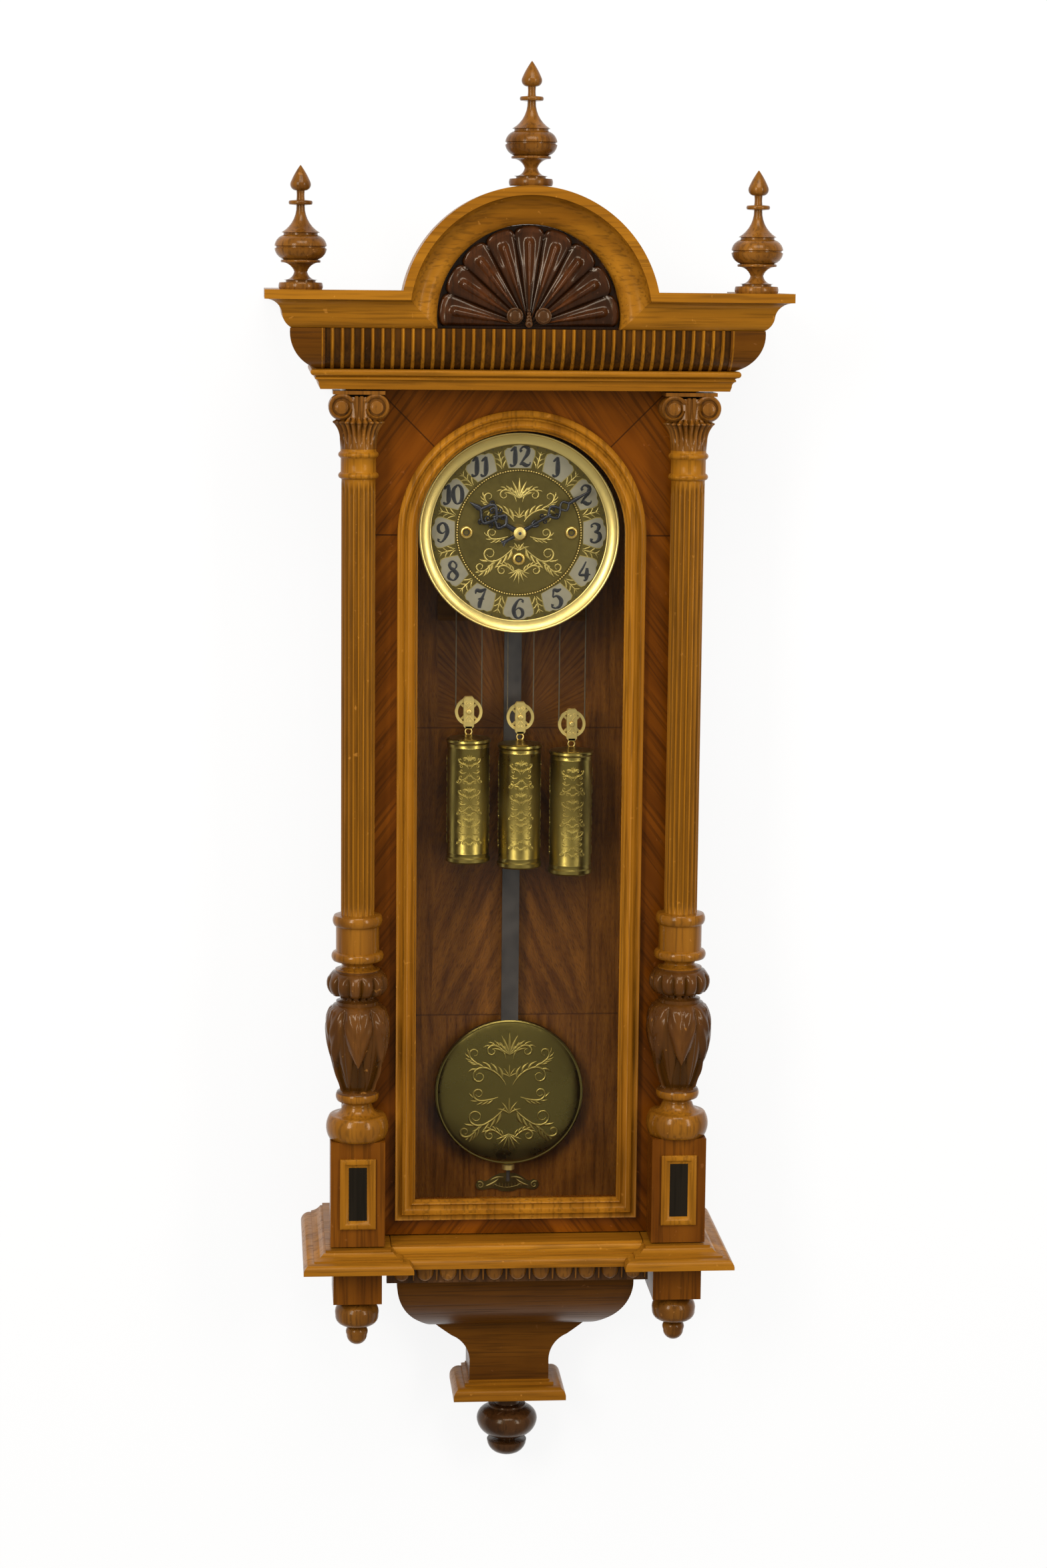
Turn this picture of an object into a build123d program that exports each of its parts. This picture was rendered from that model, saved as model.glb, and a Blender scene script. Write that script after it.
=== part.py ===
"""A wall-hung three-weight regulator clock, in millimetres.

The front faces -Y and the wall is the plane y = 0. The origin is the hole of the steel hanger
plate in the back, so every height hangs from it. Depths are distances in front of the wall.
"""
from build123d import *
from math import cos, pi, sin, sqrt
import os

# Heights
DIAL_DROP = 200.0          # dial centre below the hanger hole
DOOR_SILL_RISE = 18.0      # foot of the door moulding above the base moulding
ARCHITRAVE_RISE = 142.0    # underside of the architrave above the dial centre
ARCHITRAVE_H = 19.5
FRIEZE_H = 39.0
CORNICE_H = 35.5
BASE_H = 20.0
UNDERBOARD_H = 5.0
EGG_RAIL_H = 18.0
APRON_H = 149.0
FOOT_H = 18.0
FOOT_PLATE_H = 4.5
BLOCK_H = 33.0

# Widths, measured from the middle
CASE_HALF = 172.0
COLUMN_X = 160.0
ARCHITRAVE_HALF = 197.0
FRIEZE_HALF = 200.0
CORNICE_HALF = 225.0
FINIAL_X = 216.0
BASE_HALF = 192.0
BASE_BREAK = 127.0         # inner edge of the projecting base ends, at their top fillet
EGG_HALF = 131.0
APRON_HALF = 119.5
NECK_HALF = 41.0
FOOT_HALF = 42.0
FOOT_PLATE_HALF = 38.0

# Depths in front of the wall
BACK_T = 12.0
CASE_DEPTH = 101.0
DOOR_GAP = 1.0
DOOR_T = 20.0
COLUMN_STANDOFF = 19.0     # column axis in front of the door face
PLINTH_DEPTH = 41.0
ARCHITRAVE_FRONT = 159.0
FRIEZE_FRONT = 162.0
CORNICE_FRONT = 187.0
BASE_FRONT = 168.0         # top fillet of the projecting base ends
BASE_RECESS = 18.0
UNDERBOARD_FRONT = 168.0
EGG_FRONT = 163.0
EGG_RAIL_T = 12.0
APRON_FRONT = 135.0
NECK_FRONT = 60.0
FOOT_FRONT = 61.0
BLOCK_FRONT = 163.0
BLOCK_DEPTH = 66.0

# Case boards
SIDE_T = 12.0
TOP_T = 14.0
CROWN_WALL = 10.0
CROWN_BOARD_T = 8.0
SIDE_GLASS_T = 2.0
SIDE_WINDOW_MARGIN_Z = 54.0
SIDE_WINDOW_MARGIN_Y = 20.0
GLASS_REBATE = 5.0
SEAT_CLEARANCE = 0.3

# Crown
ARCH_CENTRE_RISE = 10.7    # centre of the arch above the cornice's underside
ARCH_INNER_R = 87.5
ARCH_DEPTH = 20.0          # wood behind the arch moulding's thinnest edge
SHELL_PLATE_T = 10.0
SHELL_RIB_H = 8.0
SHELL_LOBES = 9
FLUTE_COUNT = 41
FLUTE_SPAN = 391.0
FLUTE_DEPTH = 2.6
ARRIS_W = 2.2

# Door
DOOR_SIGHT_HALF = 101.5
DOOR_MOULDING_W = 20.0
DOOR_MOULDING_H = 12.0
DOOR_MOULDING_BELOW_BEAT = 5.0
DOOR_REBATE = 6.5
DOOR_GLASS_T = 2.5
DOOR_CLEARANCE = 1.5
BEAD_T = 5.0
BEAD_W = 6.0
PLUG_R = 5.5
PLUG_X = 84.0
PLUG_RISE = 6.0

# Columns
SHAFT_R = 16.4
ABACUS_FRONT = 24.0        # in front of the column's axis
VOLUTE_FRONT = 21.0
SHAFT_FLUTES = 20
FLUTE_R = 1.9
RING_R = 18.0
CAPITAL_H = 56.0
ABACUS_HALF = 31.0
ABACUS_H = 6.0
VOLUTE_R = 9.5
VOLUTE_X = 17.0
SHAFT_LENGTH = 425.0
PLINTH_HALF = 24.2
PANEL_HALF_W = 17.6
PANEL_H = 71.4
PANEL_W = 8.6
PANEL_PROUD = 3.5
PANEL_RISE = 18.5          # bottom of the panel moulding above the plinth's foot
INLAY_T = 1.0

# Hinges
HINGE_R = 2.5
HINGE_PIN_R = 1.2
HINGE_LEAF_T = 1.2
HINGE_LEAF_W = 14.0
KNUCKLE_H = 25.0
HINGE_DROPS = (90.0, 640.0)  # hinge middles below the dial centre
RUNNING_FIT = 0.05

# Dial and hands
PAN_R = 99.0
PAN_LIP_W = 12.2
PAN_LIP_H = 6.0
PAN_T = 1.2
DIAL_FRONT = 92.0
CHAPTER_T = 2.0
DIAL_CENTRE_R = 62.5
DIAL_BEAD_W = 3.6
GROMMET_R = 5.6
KEY_HOLE_R = 3.6
WINDING_X = 52.0
WINDING_DROP = 26.0
HAND_T = 0.8
MINUTE_HAND_L = 84.0
MINUTE_TAIL_L = 26.5
HOUR_HAND_L = 66.0
HOUR_TAIL_L = 15.5
MINUTE_ANGLE = 58.8
HOUR_ANGLE = -58.5
HAND_BOSS_R = 6.4

# Movement
PLATE_HALF = 76.0
PLATE_TOP = 62.0
PLATE_BOTTOM = 52.0
PLATE_T = 2.5
FRONT_PLATE_BACK = 71.5
BACK_PLATE_BACK = 35.5
PILLAR_R = 4.0
PILLAR_INSET = 6.0
LOW_PILLAR_X = 27.0
HAMMER_X = 20.0
ARBOR_R = 1.2
BARREL_R = 18.0
BARREL_FLANGE_R = 20.0
BARREL_FRONT = 60.5
BARREL_BACK = 46.5
BARREL_ARBOR_R = 3.0
SQUARE = 4.2
WHEEL_T = 1.5
MODULE_GREAT = 26.0 / 42.0
MODULE_THIRD = 0.5
MODULE_ESCAPE = 0.45
MODULE_MOTION = 0.5
GREAT_TEETH = 72
CENTRE_PINION_TEETH = 12
CENTRE_TEETH = 80
THIRD_PINION_TEETH = 8
THIRD_TEETH = 60
ESCAPE_PINION_TEETH = 8
ESCAPE_TEETH = 30
CANNON_TEETH = 12
MINUTE_TEETH = 36
MINUTE_PINION_TEETH = 10
HOUR_TEETH = 40
SIDE_GREAT_R = 23.0
ESCAPE_R = 13.0
SUSPENSION_RISE = 56.0
BRACKET_T = 4.0
BRACKET_ARM_X = 50.0
BRACKET_ARM_W = 7.0
BRACKET_FOOT_H = 16.0
SEAT_T = 3.0

# Pendulum
PENDULUM_DEPTH = 24.0
ROD_W = 17.5
ROD_T = 6.0
BOB_R = 77.0
BOB_T = 13.0
BOB_DROP = 583.0
SPRING_T = 0.4
SPRING_W = 8.0
SUSPENSION_PIN_R = 1.5
TIP_R = 2.0
TIP_L = 18.0
NUT_R = 6.5
NUT_H = 5.0
CRUTCH_L = 96.0

# Weights, pulleys and lines
LINE_R = 0.6
PULLEY_R = 13.8
PULLEY_GROOVE_R = 12.4
PULLEY_T = 5.0
WEIGHT_DEPTH = 55.0
WEIGHT_R = 22.0
WEIGHT_L = 127.0
WEIGHT_GAP = 25.5          # weight top below its pulley's centre
PULLEY_DROPS = (182.5, 188.0, 195.0)
STRAP_W = 11.6
STRAP_T = 1.2

# Gong and hammer
GONG_X = 52.0
GONG_RISE = 20.0
GONG_WIRE_R = 1.5
GONG_INNER_R = 13.0
GONG_PITCH = 6.0
GONG_TURNS = 3
GONG_DEPTH = 26.0
HAMMER_HEAD_R = 4.0
HAMMER_HEAD_H = 10.0

# Beat plate and hanger
BEAT_HALF = 33.0
BEAT_H = 22.0
BEAT_GAP = 23.0            # beat plate's middle below the bob's rim
HANGER_W = 40.0
HANGER_H = 56.0
HANGER_T = 2.5
HANGER_HOLE_R = 6.0

# Worked-out places
D = -DIAL_DROP
BEAT_DROP = BOB_DROP + BOB_R + BEAT_GAP
DOOR_MOULDING_DROP = BEAT_DROP + DOOR_MOULDING_BELOW_BEAT
DOOR_SPAN = ARCHITRAVE_RISE + DOOR_MOULDING_DROP + DOOR_SILL_RISE
ARCHITRAVE_Z = D + ARCHITRAVE_RISE
FRIEZE_Z = ARCHITRAVE_Z + ARCHITRAVE_H
CORNICE_Z = FRIEZE_Z + FRIEZE_H
CORNICE_TOP = CORNICE_Z + CORNICE_H
BASE_TOP = ARCHITRAVE_Z - DOOR_SPAN
BASE_Z = BASE_TOP - BASE_H
UNDERBOARD_Z = BASE_Z - UNDERBOARD_H
EGG_Z = BASE_Z - EGG_RAIL_H
APRON_Z = UNDERBOARD_Z - APRON_H
FOOT_Z = APRON_Z - FOOT_H
DOOR_BACK = CASE_DEPTH + DOOR_GAP
DOOR_FACE = DOOR_BACK + DOOR_T
DOOR_TOP = ARCHITRAVE_Z - DOOR_CLEARANCE
DOOR_Z = BASE_TOP + DOOR_CLEARANCE
COLUMN_DEPTH = DOOR_FACE + COLUMN_STANDOFF
ARCH_CENTRE = CORNICE_Z + ARCH_CENTRE_RISE
LINE_ON_PULLEY = PULLEY_GROOVE_R + LINE_R
LINE_ON_BARREL = BARREL_R + LINE_R + RUNNING_FIT
SEAT_Z = D - PLATE_BOTTOM - SEAT_T
PIVOT_Z = D + SUSPENSION_RISE

# Planes: both read as (sideways, height), with depth growing away from the wall
SECTION = Plane(origin=(0, 0, 0), x_dir=(0, -1, 0), z_dir=(-1, 0, 0))
ELEVATION = Plane.XZ


def outline(start, *steps):
    """Close a run of lines and arcs; a step is (u, v), or (u, v, sagitta) for an arc."""
    edges = []
    here = start
    for u, v, *bulge in steps:
        if bulge:
            edges.append(SagittaArc(here, (u, v), bulge[0]))
        else:
            edges.append(Line(here, (u, v)))
        here = (u, v)
    if here != start:
        edges.append(Line(here, start))
    return make_face(edges)


def block(x0, x1, depth0, depth1, z0, z1):
    """A board between two widths, two depths in front of the wall and two heights."""
    middle = Pos((x0 + x1) / 2, -(depth0 + depth1) / 2, (z0 + z1) / 2)
    return middle * Box(abs(x1 - x0), abs(depth1 - depth0), abs(z1 - z0))


def rod(x, z, radius, depth0, depth1):
    """A round bar along the depth."""
    return Pos(x, -(depth0 + depth1) / 2, z) * Rot(90, 0, 0) * Cylinder(radius, abs(depth1 - depth0))


def plate(face, depth0, depth1):
    """A flat shape drawn on the elevation, between two depths."""
    return Pos(0, -depth0, 0) * extrude(ELEVATION * face, depth1 - depth0)


def turned(x, depth, top, radius, segments):
    """A turning about a vertical axis; a segment is (radius, drop) or (radius, drop, bulge)."""
    steps = [(radius, top)]
    z = top
    for end_radius, drop, *bulge in segments:
        z -= drop
        steps.append((end_radius, z, *bulge))
    face = outline((0, top), *steps, (0, z))
    return Pos(x, -depth, 0) * revolve(ELEVATION * face, Axis.Z, 360)


def height(segments):
    return sum(segment[1] for segment in segments)


def moulded(profile, half, front, z):
    """A block to the wall whose front and two sides carry one mitred profile.

    The profile runs upwards in steps of (projection, height) from the block's own half width
    and front.
    """
    right = [(half + p, z + h, *bulge) for p, h, *bulge in profile]
    left = [(-right[-1][0], right[-1][1])]
    for before, after in zip(right[-2::-1], right[:0:-1]):
        left.append((-before[0], before[1], *after[2:]))
    ahead = [(front + p, z + h, *bulge) for p, h, *bulge in profile]
    reach = half + front
    across = extrude(ELEVATION * outline(right[0], *right[1:], *left), reach)
    along = extrude(
        SECTION * outline((0, ahead[0][1]), *ahead, (0, ahead[-1][1])), reach, both=True)
    return across & along


def mirrored(shape):
    return mirror(shape, about=Plane.YZ)


def gear(x, z, teeth, module, depth0, depth1, phase=0.0):
    """A wheel or pinion with slim straight-sided teeth, so that it runs free at any phase."""
    root = teeth * module / 2 - 0.95 * module
    tip = teeth * module / 2 + 0.55 * module
    pitch = 2 * pi / teeth
    points = []
    for i in range(teeth):
        at = pitch * (i + phase)
        for radius, share in ((root, -0.22), (tip, -0.07), (tip, 0.07), (root, 0.22)):
            a = at + pitch * share
            points.append((x + radius * cos(a), z + radius * sin(a)))
    return plate(make_face(Polyline(*points, close=True)), depth0, depth1)


def write(name, *solids):
    """Keep one node, as one solid or a group of separate ones."""
    parts = []
    for solid in solids:
        parts += solid.solids()
    shape = parts[0] if len(parts) == 1 else Compound(children=parts)
    shape.label = name
    export_step(shape, f"parts/{name}.step")


os.makedirs("parts", exist_ok=True)

# Backboard, with a pocket for the hanger plate
backboard = block(-CASE_HALF, CASE_HALF, 0, BACK_T, BASE_TOP, CORNICE_TOP - CROWN_BOARD_T)
pocket = block(-HANGER_W / 2, HANGER_W / 2, 0, HANGER_T, -HANGER_H + 14, 14)
head_room = rod(0, 0, HANGER_HOLE_R + 3, 0, BACK_T - 2)
write("backboard", backboard - pocket - head_room)

hanger = block(
    -HANGER_W / 2 + SEAT_CLEARANCE, HANGER_W / 2 - SEAT_CLEARANCE, 0, HANGER_T,
    14 - HANGER_H + SEAT_CLEARANCE, 14 - SEAT_CLEARANCE)
hanger -= rod(0, 0, HANGER_HOLE_R, -1, HANGER_T + 1)
write("hanger_plate", hanger)

# Case sides, each with a glazed window
side = block(CASE_HALF - SIDE_T, CASE_HALF, BACK_T, CASE_DEPTH, BASE_TOP, FRIEZE_Z)
window_low = BASE_TOP + SIDE_WINDOW_MARGIN_Z
window_high = ARCHITRAVE_Z - SIDE_WINDOW_MARGIN_Z
window_back = BACK_T + SIDE_WINDOW_MARGIN_Y
window_front = CASE_DEPTH - SIDE_WINDOW_MARGIN_Y
glass_inner = CASE_HALF - SIDE_T
side -= block(glass_inner - 1, CASE_HALF + 1, window_back, window_front, window_low, window_high)
side -= block(
    glass_inner - 1, glass_inner + SIDE_GLASS_T, window_back - GLASS_REBATE,
    window_front + GLASS_REBATE, window_low - GLASS_REBATE, window_high + GLASS_REBATE)
write("case_sides", side, mirrored(side))

pane = block(
    glass_inner, glass_inner + SIDE_GLASS_T,
    window_back - GLASS_REBATE + SEAT_CLEARANCE, window_front + GLASS_REBATE - SEAT_CLEARANCE,
    window_low - GLASS_REBATE + SEAT_CLEARANCE, window_high + GLASS_REBATE - SEAT_CLEARANCE)
write("side_glass", pane, mirrored(pane))

# Boards that close the case and the crown
inner_half = CASE_HALF - SIDE_T
crown_half = CORNICE_HALF - 2 * CROWN_WALL
crown_front = CORNICE_FRONT - 2 * CROWN_WALL
top_board = block(-inner_half, inner_half, BACK_T, CASE_DEPTH, FRIEZE_Z - TOP_T, FRIEZE_Z)
crown_board = block(
    -crown_half, crown_half, 0, crown_front, CORNICE_TOP - CROWN_BOARD_T, CORNICE_TOP - 2)
write("top_boards", top_board, crown_board)

# Architrave: a bead over a quirk and a cove
ARCHITRAVE_PROFILE = [
    (0, 0), (1.5, 4.5), (5, 9.5, 1.2), (5, 11), (4, 12), (6, 13), (6.4, ARCHITRAVE_H, -3.2)]
architrave = moulded(ARCHITRAVE_PROFILE, ARCHITRAVE_HALF, ARCHITRAVE_FRONT, ARCHITRAVE_Z)
architrave -= block(-CASE_HALF, CASE_HALF, -1, CASE_DEPTH, ARCHITRAVE_Z - 1, FRIEZE_Z + 1)
write("architrave", architrave)

# Frieze: a swelling board with flutes between thin arrises and plain ends
FRIEZE_SWELL = 26.0
FRIEZE_PROFILE = [(0, 0), (FRIEZE_SWELL, FRIEZE_H, -8)]
frieze = moulded(FRIEZE_PROFILE, FRIEZE_HALF, FRIEZE_FRONT, FRIEZE_Z)
floor_of_flutes = Pos(0, FLUTE_DEPTH, 0) * extrude(
    SECTION * outline(
        (0, FRIEZE_Z), (FRIEZE_FRONT, FRIEZE_Z),
        (FRIEZE_FRONT + FRIEZE_SWELL, CORNICE_Z, -8), (0, CORNICE_Z)),
    FLUTE_SPAN / 2, both=True)
flute_pitch = FLUTE_SPAN / FLUTE_COUNT
flute = block(
    -flute_pitch / 2 + ARRIS_W / 2, flute_pitch / 2 - ARRIS_W / 2, 0,
    FRIEZE_FRONT + 2 * FRIEZE_SWELL, FRIEZE_Z - 1, CORNICE_Z + 1)
flutes = [
    Pos(flute_pitch * (i - (FLUTE_COUNT - 1) / 2), 0, 0) * flute for i in range(FLUTE_COUNT)]
frieze -= Compound(children=flutes) - floor_of_flutes
crown_room = block(
    -crown_half + CROWN_WALL, crown_half - CROWN_WALL, -1, crown_front - 2 * CROWN_WALL,
    FRIEZE_Z - 1, CORNICE_Z + 1)
write("frieze", frieze - crown_room)

# Cornice: straight runs with side returns, mitred to a round arch of the same section
CORNICE_PROFILE = [(0, 0), (8.5, 13, -1.9), (24, 26.8, 4), (25, 26.8), (25, CORNICE_H)]
arch_outer = ARCH_INNER_R + CORNICE_H
mitre_low = sqrt(ARCH_INNER_R ** 2 - ARCH_CENTRE_RISE ** 2)
mitre_high = sqrt(arch_outer ** 2 - (CORNICE_H - ARCH_CENTRE_RISE) ** 2)
cornice = moulded(CORNICE_PROFILE, CORNICE_HALF, CORNICE_FRONT, CORNICE_Z)
cornice -= block(-crown_half, crown_half, -1, crown_front, CORNICE_Z - 1, CORNICE_TOP + 1)
arch_zone = plate(
    outline(
        (-mitre_low, CORNICE_Z), (mitre_low, CORNICE_Z), (mitre_high, CORNICE_TOP),
        (arch_outer, CORNICE_TOP + arch_outer), (-arch_outer, CORNICE_TOP + arch_outer),
        (-mitre_high, CORNICE_TOP)),
    0, CORNICE_FRONT + 2 * arch_outer)
arch_back = CORNICE_FRONT - ARCH_DEPTH
ring_steps = [
    (ARCH_INNER_R + h, CORNICE_FRONT + p, *(-b for b in bulge)) for p, h, *bulge in CORNICE_PROFILE]
ring_face = outline((ARCH_INNER_R, arch_back), *ring_steps, (arch_outer, arch_back))
ring = revolve(Plane(origin=(0, 0, 0), x_dir=(1, 0, 0), z_dir=(0, 0, 1)) * ring_face, Axis.Y, 360)
ring = Pos(0, 0, ARCH_CENTRE) * mirror(ring, about=Plane.XZ)
write("cornice", cornice - arch_zone, ring & arch_zone)

# Shell: a half disc of scalloped ribs under the arch
shell_r = ARCH_INNER_R
shell_back = arch_back
shell_face = shell_back + SHELL_PLATE_T
half_disc = block(-shell_r, shell_r, shell_back, shell_face + SHELL_RIB_H, CORNICE_Z,
                  ARCH_CENTRE + shell_r)
shell = rod(0, ARCH_CENTRE, shell_r, shell_back, shell_face) & half_disc
lobe_angle = pi / SHELL_LOBES
lobe_r = shell_r * sin(lobe_angle / 2) / (1 + sin(lobe_angle / 2))
for i in range(SHELL_LOBES):
    a = lobe_angle * (i + 0.5)
    reach = shell_r - lobe_r
    tip = Plane(origin=(0, -shell_face, ARCH_CENTRE), x_dir=(0, -1, 0), z_dir=(cos(a), 0, sin(a)))
    rib = loft([
        tip.offset(4) * Ellipse(SHELL_RIB_H / 2, 2.2), tip.offset(reach) * Ellipse(SHELL_RIB_H, 9)])
    shell += rib & half_disc
write("shell_carving", shell)

# Finials
FINIAL = [
    (9.4, 16), (3.9, 7.5, 2.4), (3.9, 8.4), (10.5, 0.8), (10.5, 3.6), (3.9, 0.8), (18, 25, -4),
    (16, 0.5), (16, 1.8), (24.5, 10, 2), (23, 0.8), (23, 1), (24.5, 0.8), (16, 10, 2),
    (18.3, 0.5), (18.3, 2.3), (6.1, 8.5, -2.5), (16, 7.6, -2.5), (14, 0.5), (14, 1.5), (20, 0.5),
    (20, 6.5)]
finial_depth = CORNICE_FRONT + 25 - 22
arch_top = ARCH_CENTRE + arch_outer
side_finial = turned(FINIAL_X, finial_depth, CORNICE_TOP + height(FINIAL), 0.01, FINIAL)
centre_finial = turned(
    0, finial_depth, arch_top + height(FINIAL), 0.01, FINIAL[:-1] + [(20, 6.5 + 1.7)])
centre_finial -= rod(0, ARCH_CENTRE, arch_outer, 0, 2 * CORNICE_FRONT)
write("finials", side_finial, mirrored(side_finial), centre_finial)

# Base moulding, breaking forward under each plinth
BASE_PROFILE = [
    (22, 0), (22, 3), (12.5, 10.5, -2.4), (11.5, 10.5), (11.5, 12), (2, 17.5, 1.2), (0, 17.5),
    (0, BASE_H)]
end_half = (BASE_HALF - BASE_BREAK) / 2
base_end = Pos(BASE_BREAK + end_half, 0, 0) * moulded(BASE_PROFILE, end_half, BASE_FRONT, BASE_Z)
centre_front = BASE_FRONT - BASE_RECESS
centre_steps = [(centre_front + p, BASE_Z + h, *bulge) for p, h, *bulge in BASE_PROFILE]
base_centre = extrude(
    SECTION * outline((0, BASE_Z), *centre_steps, (0, BASE_TOP)), BASE_BREAK + end_half, both=True)
write("base_moulding", base_centre + base_end + mirrored(base_end))

# Board under the base, notched for the egg-and-dart rail
underboard = block(-BASE_HALF + 3, BASE_HALF - 3, 0, UNDERBOARD_FRONT, UNDERBOARD_Z, BASE_Z)
egg_back = EGG_FRONT - EGG_RAIL_T
underboard -= block(-EGG_HALF, EGG_HALF, egg_back, UNDERBOARD_FRONT + 1, UNDERBOARD_Z - 1, BASE_Z + 1)
write("bottom_board", underboard)

EGG_COUNT = 11
EGG_GAP = 0.8
egg_rail = block(-EGG_HALF, EGG_HALF, egg_back, EGG_FRONT - 5, EGG_Z, BASE_Z)
egg_pitch = 2 * EGG_HALF / (EGG_COUNT + 0.3)
egg = extrude(SECTION * outline(
    (EGG_FRONT - 5, BASE_Z), (EGG_FRONT, BASE_Z - 2), (EGG_FRONT - 5, EGG_Z + 1, 4)),
    egg_pitch / 2 - EGG_GAP, both=True)
for i in range(EGG_COUNT):
    egg_rail += Pos(egg_pitch * (i - (EGG_COUNT - 1) / 2), 0, 0) * egg
write("egg_rail", egg_rail)

# Apron: an ogee bracket on the front and both sides, with a moulded foot and a turned drop
APRON_PROFILE = [
    (0, 0), (0, 22), (18.5, 48, 4.6), (54, 76, -0.8), (APRON_HALF - NECK_HALF, 128, -6.5),
    (APRON_HALF - NECK_HALF, APRON_H)]
apron_right = [(NECK_HALF + p, APRON_Z + h, *bulge) for p, h, *bulge in APRON_PROFILE]
apron_left = [(-apron_right[-1][0], apron_right[-1][1])]
for before, after in zip(apron_right[-2::-1], apron_right[:0:-1]):
    apron_left.append((-before[0], before[1], *after[2:]))
apron_front = extrude(ELEVATION * outline(apron_right[0], *apron_right[1:], *apron_left), APRON_FRONT)
NECK_H = 61.5
apron_side = extrude(SECTION * outline(
    (0, APRON_Z), (NECK_FRONT, APRON_Z), (NECK_FRONT, APRON_Z + NECK_H),
    (APRON_FRONT, APRON_Z + APRON_H - 26, -13), (APRON_FRONT, APRON_Z + APRON_H),
    (0, APRON_Z + APRON_H)), APRON_HALF + 1, both=True)
apron = apron_front & apron_side
write("apron", apron)

FOOT_PROFILE = [(16, 0), (16, 4.5), (5, 13, -3), (4, 13), (4, 16), (0, 16.5), (0, FOOT_H)]
write("apron_foot", moulded(FOOT_PROFILE, FOOT_HALF, FOOT_FRONT, FOOT_Z) + block(
    -FOOT_PLATE_HALF, FOOT_PLATE_HALF, 0, FOOT_FRONT - 3, FOOT_Z - FOOT_PLATE_H, FOOT_Z))

BOTTOM_DROP = [
    (13, 10.5), (19.3, 0.8), (19.3, 3.2), (22, 0.8), (31.2, 14.5, 3.5), (12, 15.5, 4.5), (9, 1),
    (9, 3), (20.5, 0.8), (20.5, 1.2), (4, 13.5, 4.5)]
drop_depth = FOOT_FRONT - 25
write("bottom_drop", turned(0, drop_depth, FOOT_Z - FOOT_PLATE_H, 13, BOTTOM_DROP))

# Blocks under the plinths, each with a turned pendant
pendant_block = block(
    COLUMN_X - PLINTH_HALF, COLUMN_X + PLINTH_HALF, BLOCK_FRONT - BLOCK_DEPTH, BLOCK_FRONT,
    UNDERBOARD_Z - BLOCK_H, UNDERBOARD_Z)
write("pendant_blocks", pendant_block, mirrored(pendant_block))
PENDANT = [
    (9, 2.5), (21.7, 15, 5), (8, 9, 5), (5, 0.8), (5, 1.4), (10.3, 9.4, 3), (0.01, 10.3, 3)]
pendant = turned(COLUMN_X, BLOCK_FRONT - PLINTH_HALF, UNDERBOARD_Z - BLOCK_H, 6, PENDANT)
write("pendant_drops", pendant, mirrored(pendant))

# Door frame: one veneered face with an arched opening
arch_open = DOOR_SIGHT_HALF + DOOR_REBATE
open_low = D - DOOR_MOULDING_DROP + DOOR_MOULDING_W - DOOR_REBATE


def arched(half, low):
    """An arched opening shape: straight sides, a flat sill and a half-round head."""
    return outline((half, low), (half, D), (-half, D, -half), (-half, low))


door_frame = block(-CASE_HALF, CASE_HALF, DOOR_BACK, DOOR_FACE, DOOR_Z, DOOR_TOP)
door_frame -= plate(arched(arch_open, open_low), DOOR_BACK - 1, DOOR_FACE + 1)
plugs = []
for x in (-PLUG_X, PLUG_X):
    door_frame -= rod(x, DOOR_Z + PLUG_RISE, PLUG_R, DOOR_FACE - 4, DOOR_FACE + 1)
    plugs.append(rod(x, DOOR_Z + PLUG_RISE, PLUG_R, DOOR_FACE - 4, DOOR_FACE))

# Door moulding: outer bead, quirk and inner ogee, turned round the arch and mitred below
MOULDING = [
    (DOOR_MOULDING_W, 0), (DOOR_MOULDING_W, 7), (13.5, 10.5, 2.8), (12.5, 7.5), (11, 7.5),
    (3.5, 8, 2.6), (1.5, 4, -0.6), (0, 3.6), (0, 0)]
moulding_face = [
    (DOOR_SIGHT_HALF + u, DOOR_FACE + v, *bulge) for u, v, *bulge in MOULDING]
moulding_low = D - DOOR_MOULDING_DROP
section = outline(moulding_face[0], *moulding_face[1:])
head = revolve(section, Axis.Y, 360)
head = mirror(head, about=Plane.XZ)
outer_half = DOOR_SIGHT_HALF + DOOR_MOULDING_W
head = Pos(0, 0, D) * (head & block(-outer_half, outer_half, 0, 2 * DOOR_FACE, 0, outer_half))
legs = mirror(extrude(section, DOOR_MOULDING_DROP), about=Plane.XZ)
leg = Pos(0, 0, moulding_low) * legs
sill_steps = [
    (DOOR_FACE + v, moulding_low + DOOR_MOULDING_W - u, *(-b for b in bulge))
    for u, v, *bulge in MOULDING]
sill = extrude(SECTION * outline(sill_steps[0], *sill_steps[1:]), outer_half, both=True)
reach = DOOR_FACE + DOOR_MOULDING_H + 5
leg_zone = plate(
    outline(
        (outer_half, moulding_low), (outer_half, D), (DOOR_SIGHT_HALF, D),
        (DOOR_SIGHT_HALF, moulding_low + DOOR_MOULDING_W)),
    0, reach)
sill_zone = plate(
    outline(
        (-outer_half, moulding_low), (outer_half, moulding_low),
        (DOOR_SIGHT_HALF, moulding_low + DOOR_MOULDING_W),
        (-DOOR_SIGHT_HALF, moulding_low + DOOR_MOULDING_W)),
    0, reach)
right_leg = leg & leg_zone
write("door_moulding", head, right_leg, mirrored(right_leg), sill & sill_zone)

glass_half = arch_open - SEAT_CLEARANCE
write("door_glass", plate(
    arched(glass_half, open_low + SEAT_CLEARANCE), DOOR_FACE - DOOR_GLASS_T, DOOR_FACE))
bead_front = DOOR_FACE - DOOR_GLASS_T
bead = plate(arched(arch_open, open_low), bead_front - BEAD_T, bead_front)
bead -= plate(
    arched(arch_open - BEAD_W, open_low + BEAD_W), bead_front - BEAD_T - 1, bead_front + 1)
write("door_frame", door_frame, *plugs, bead)

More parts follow.
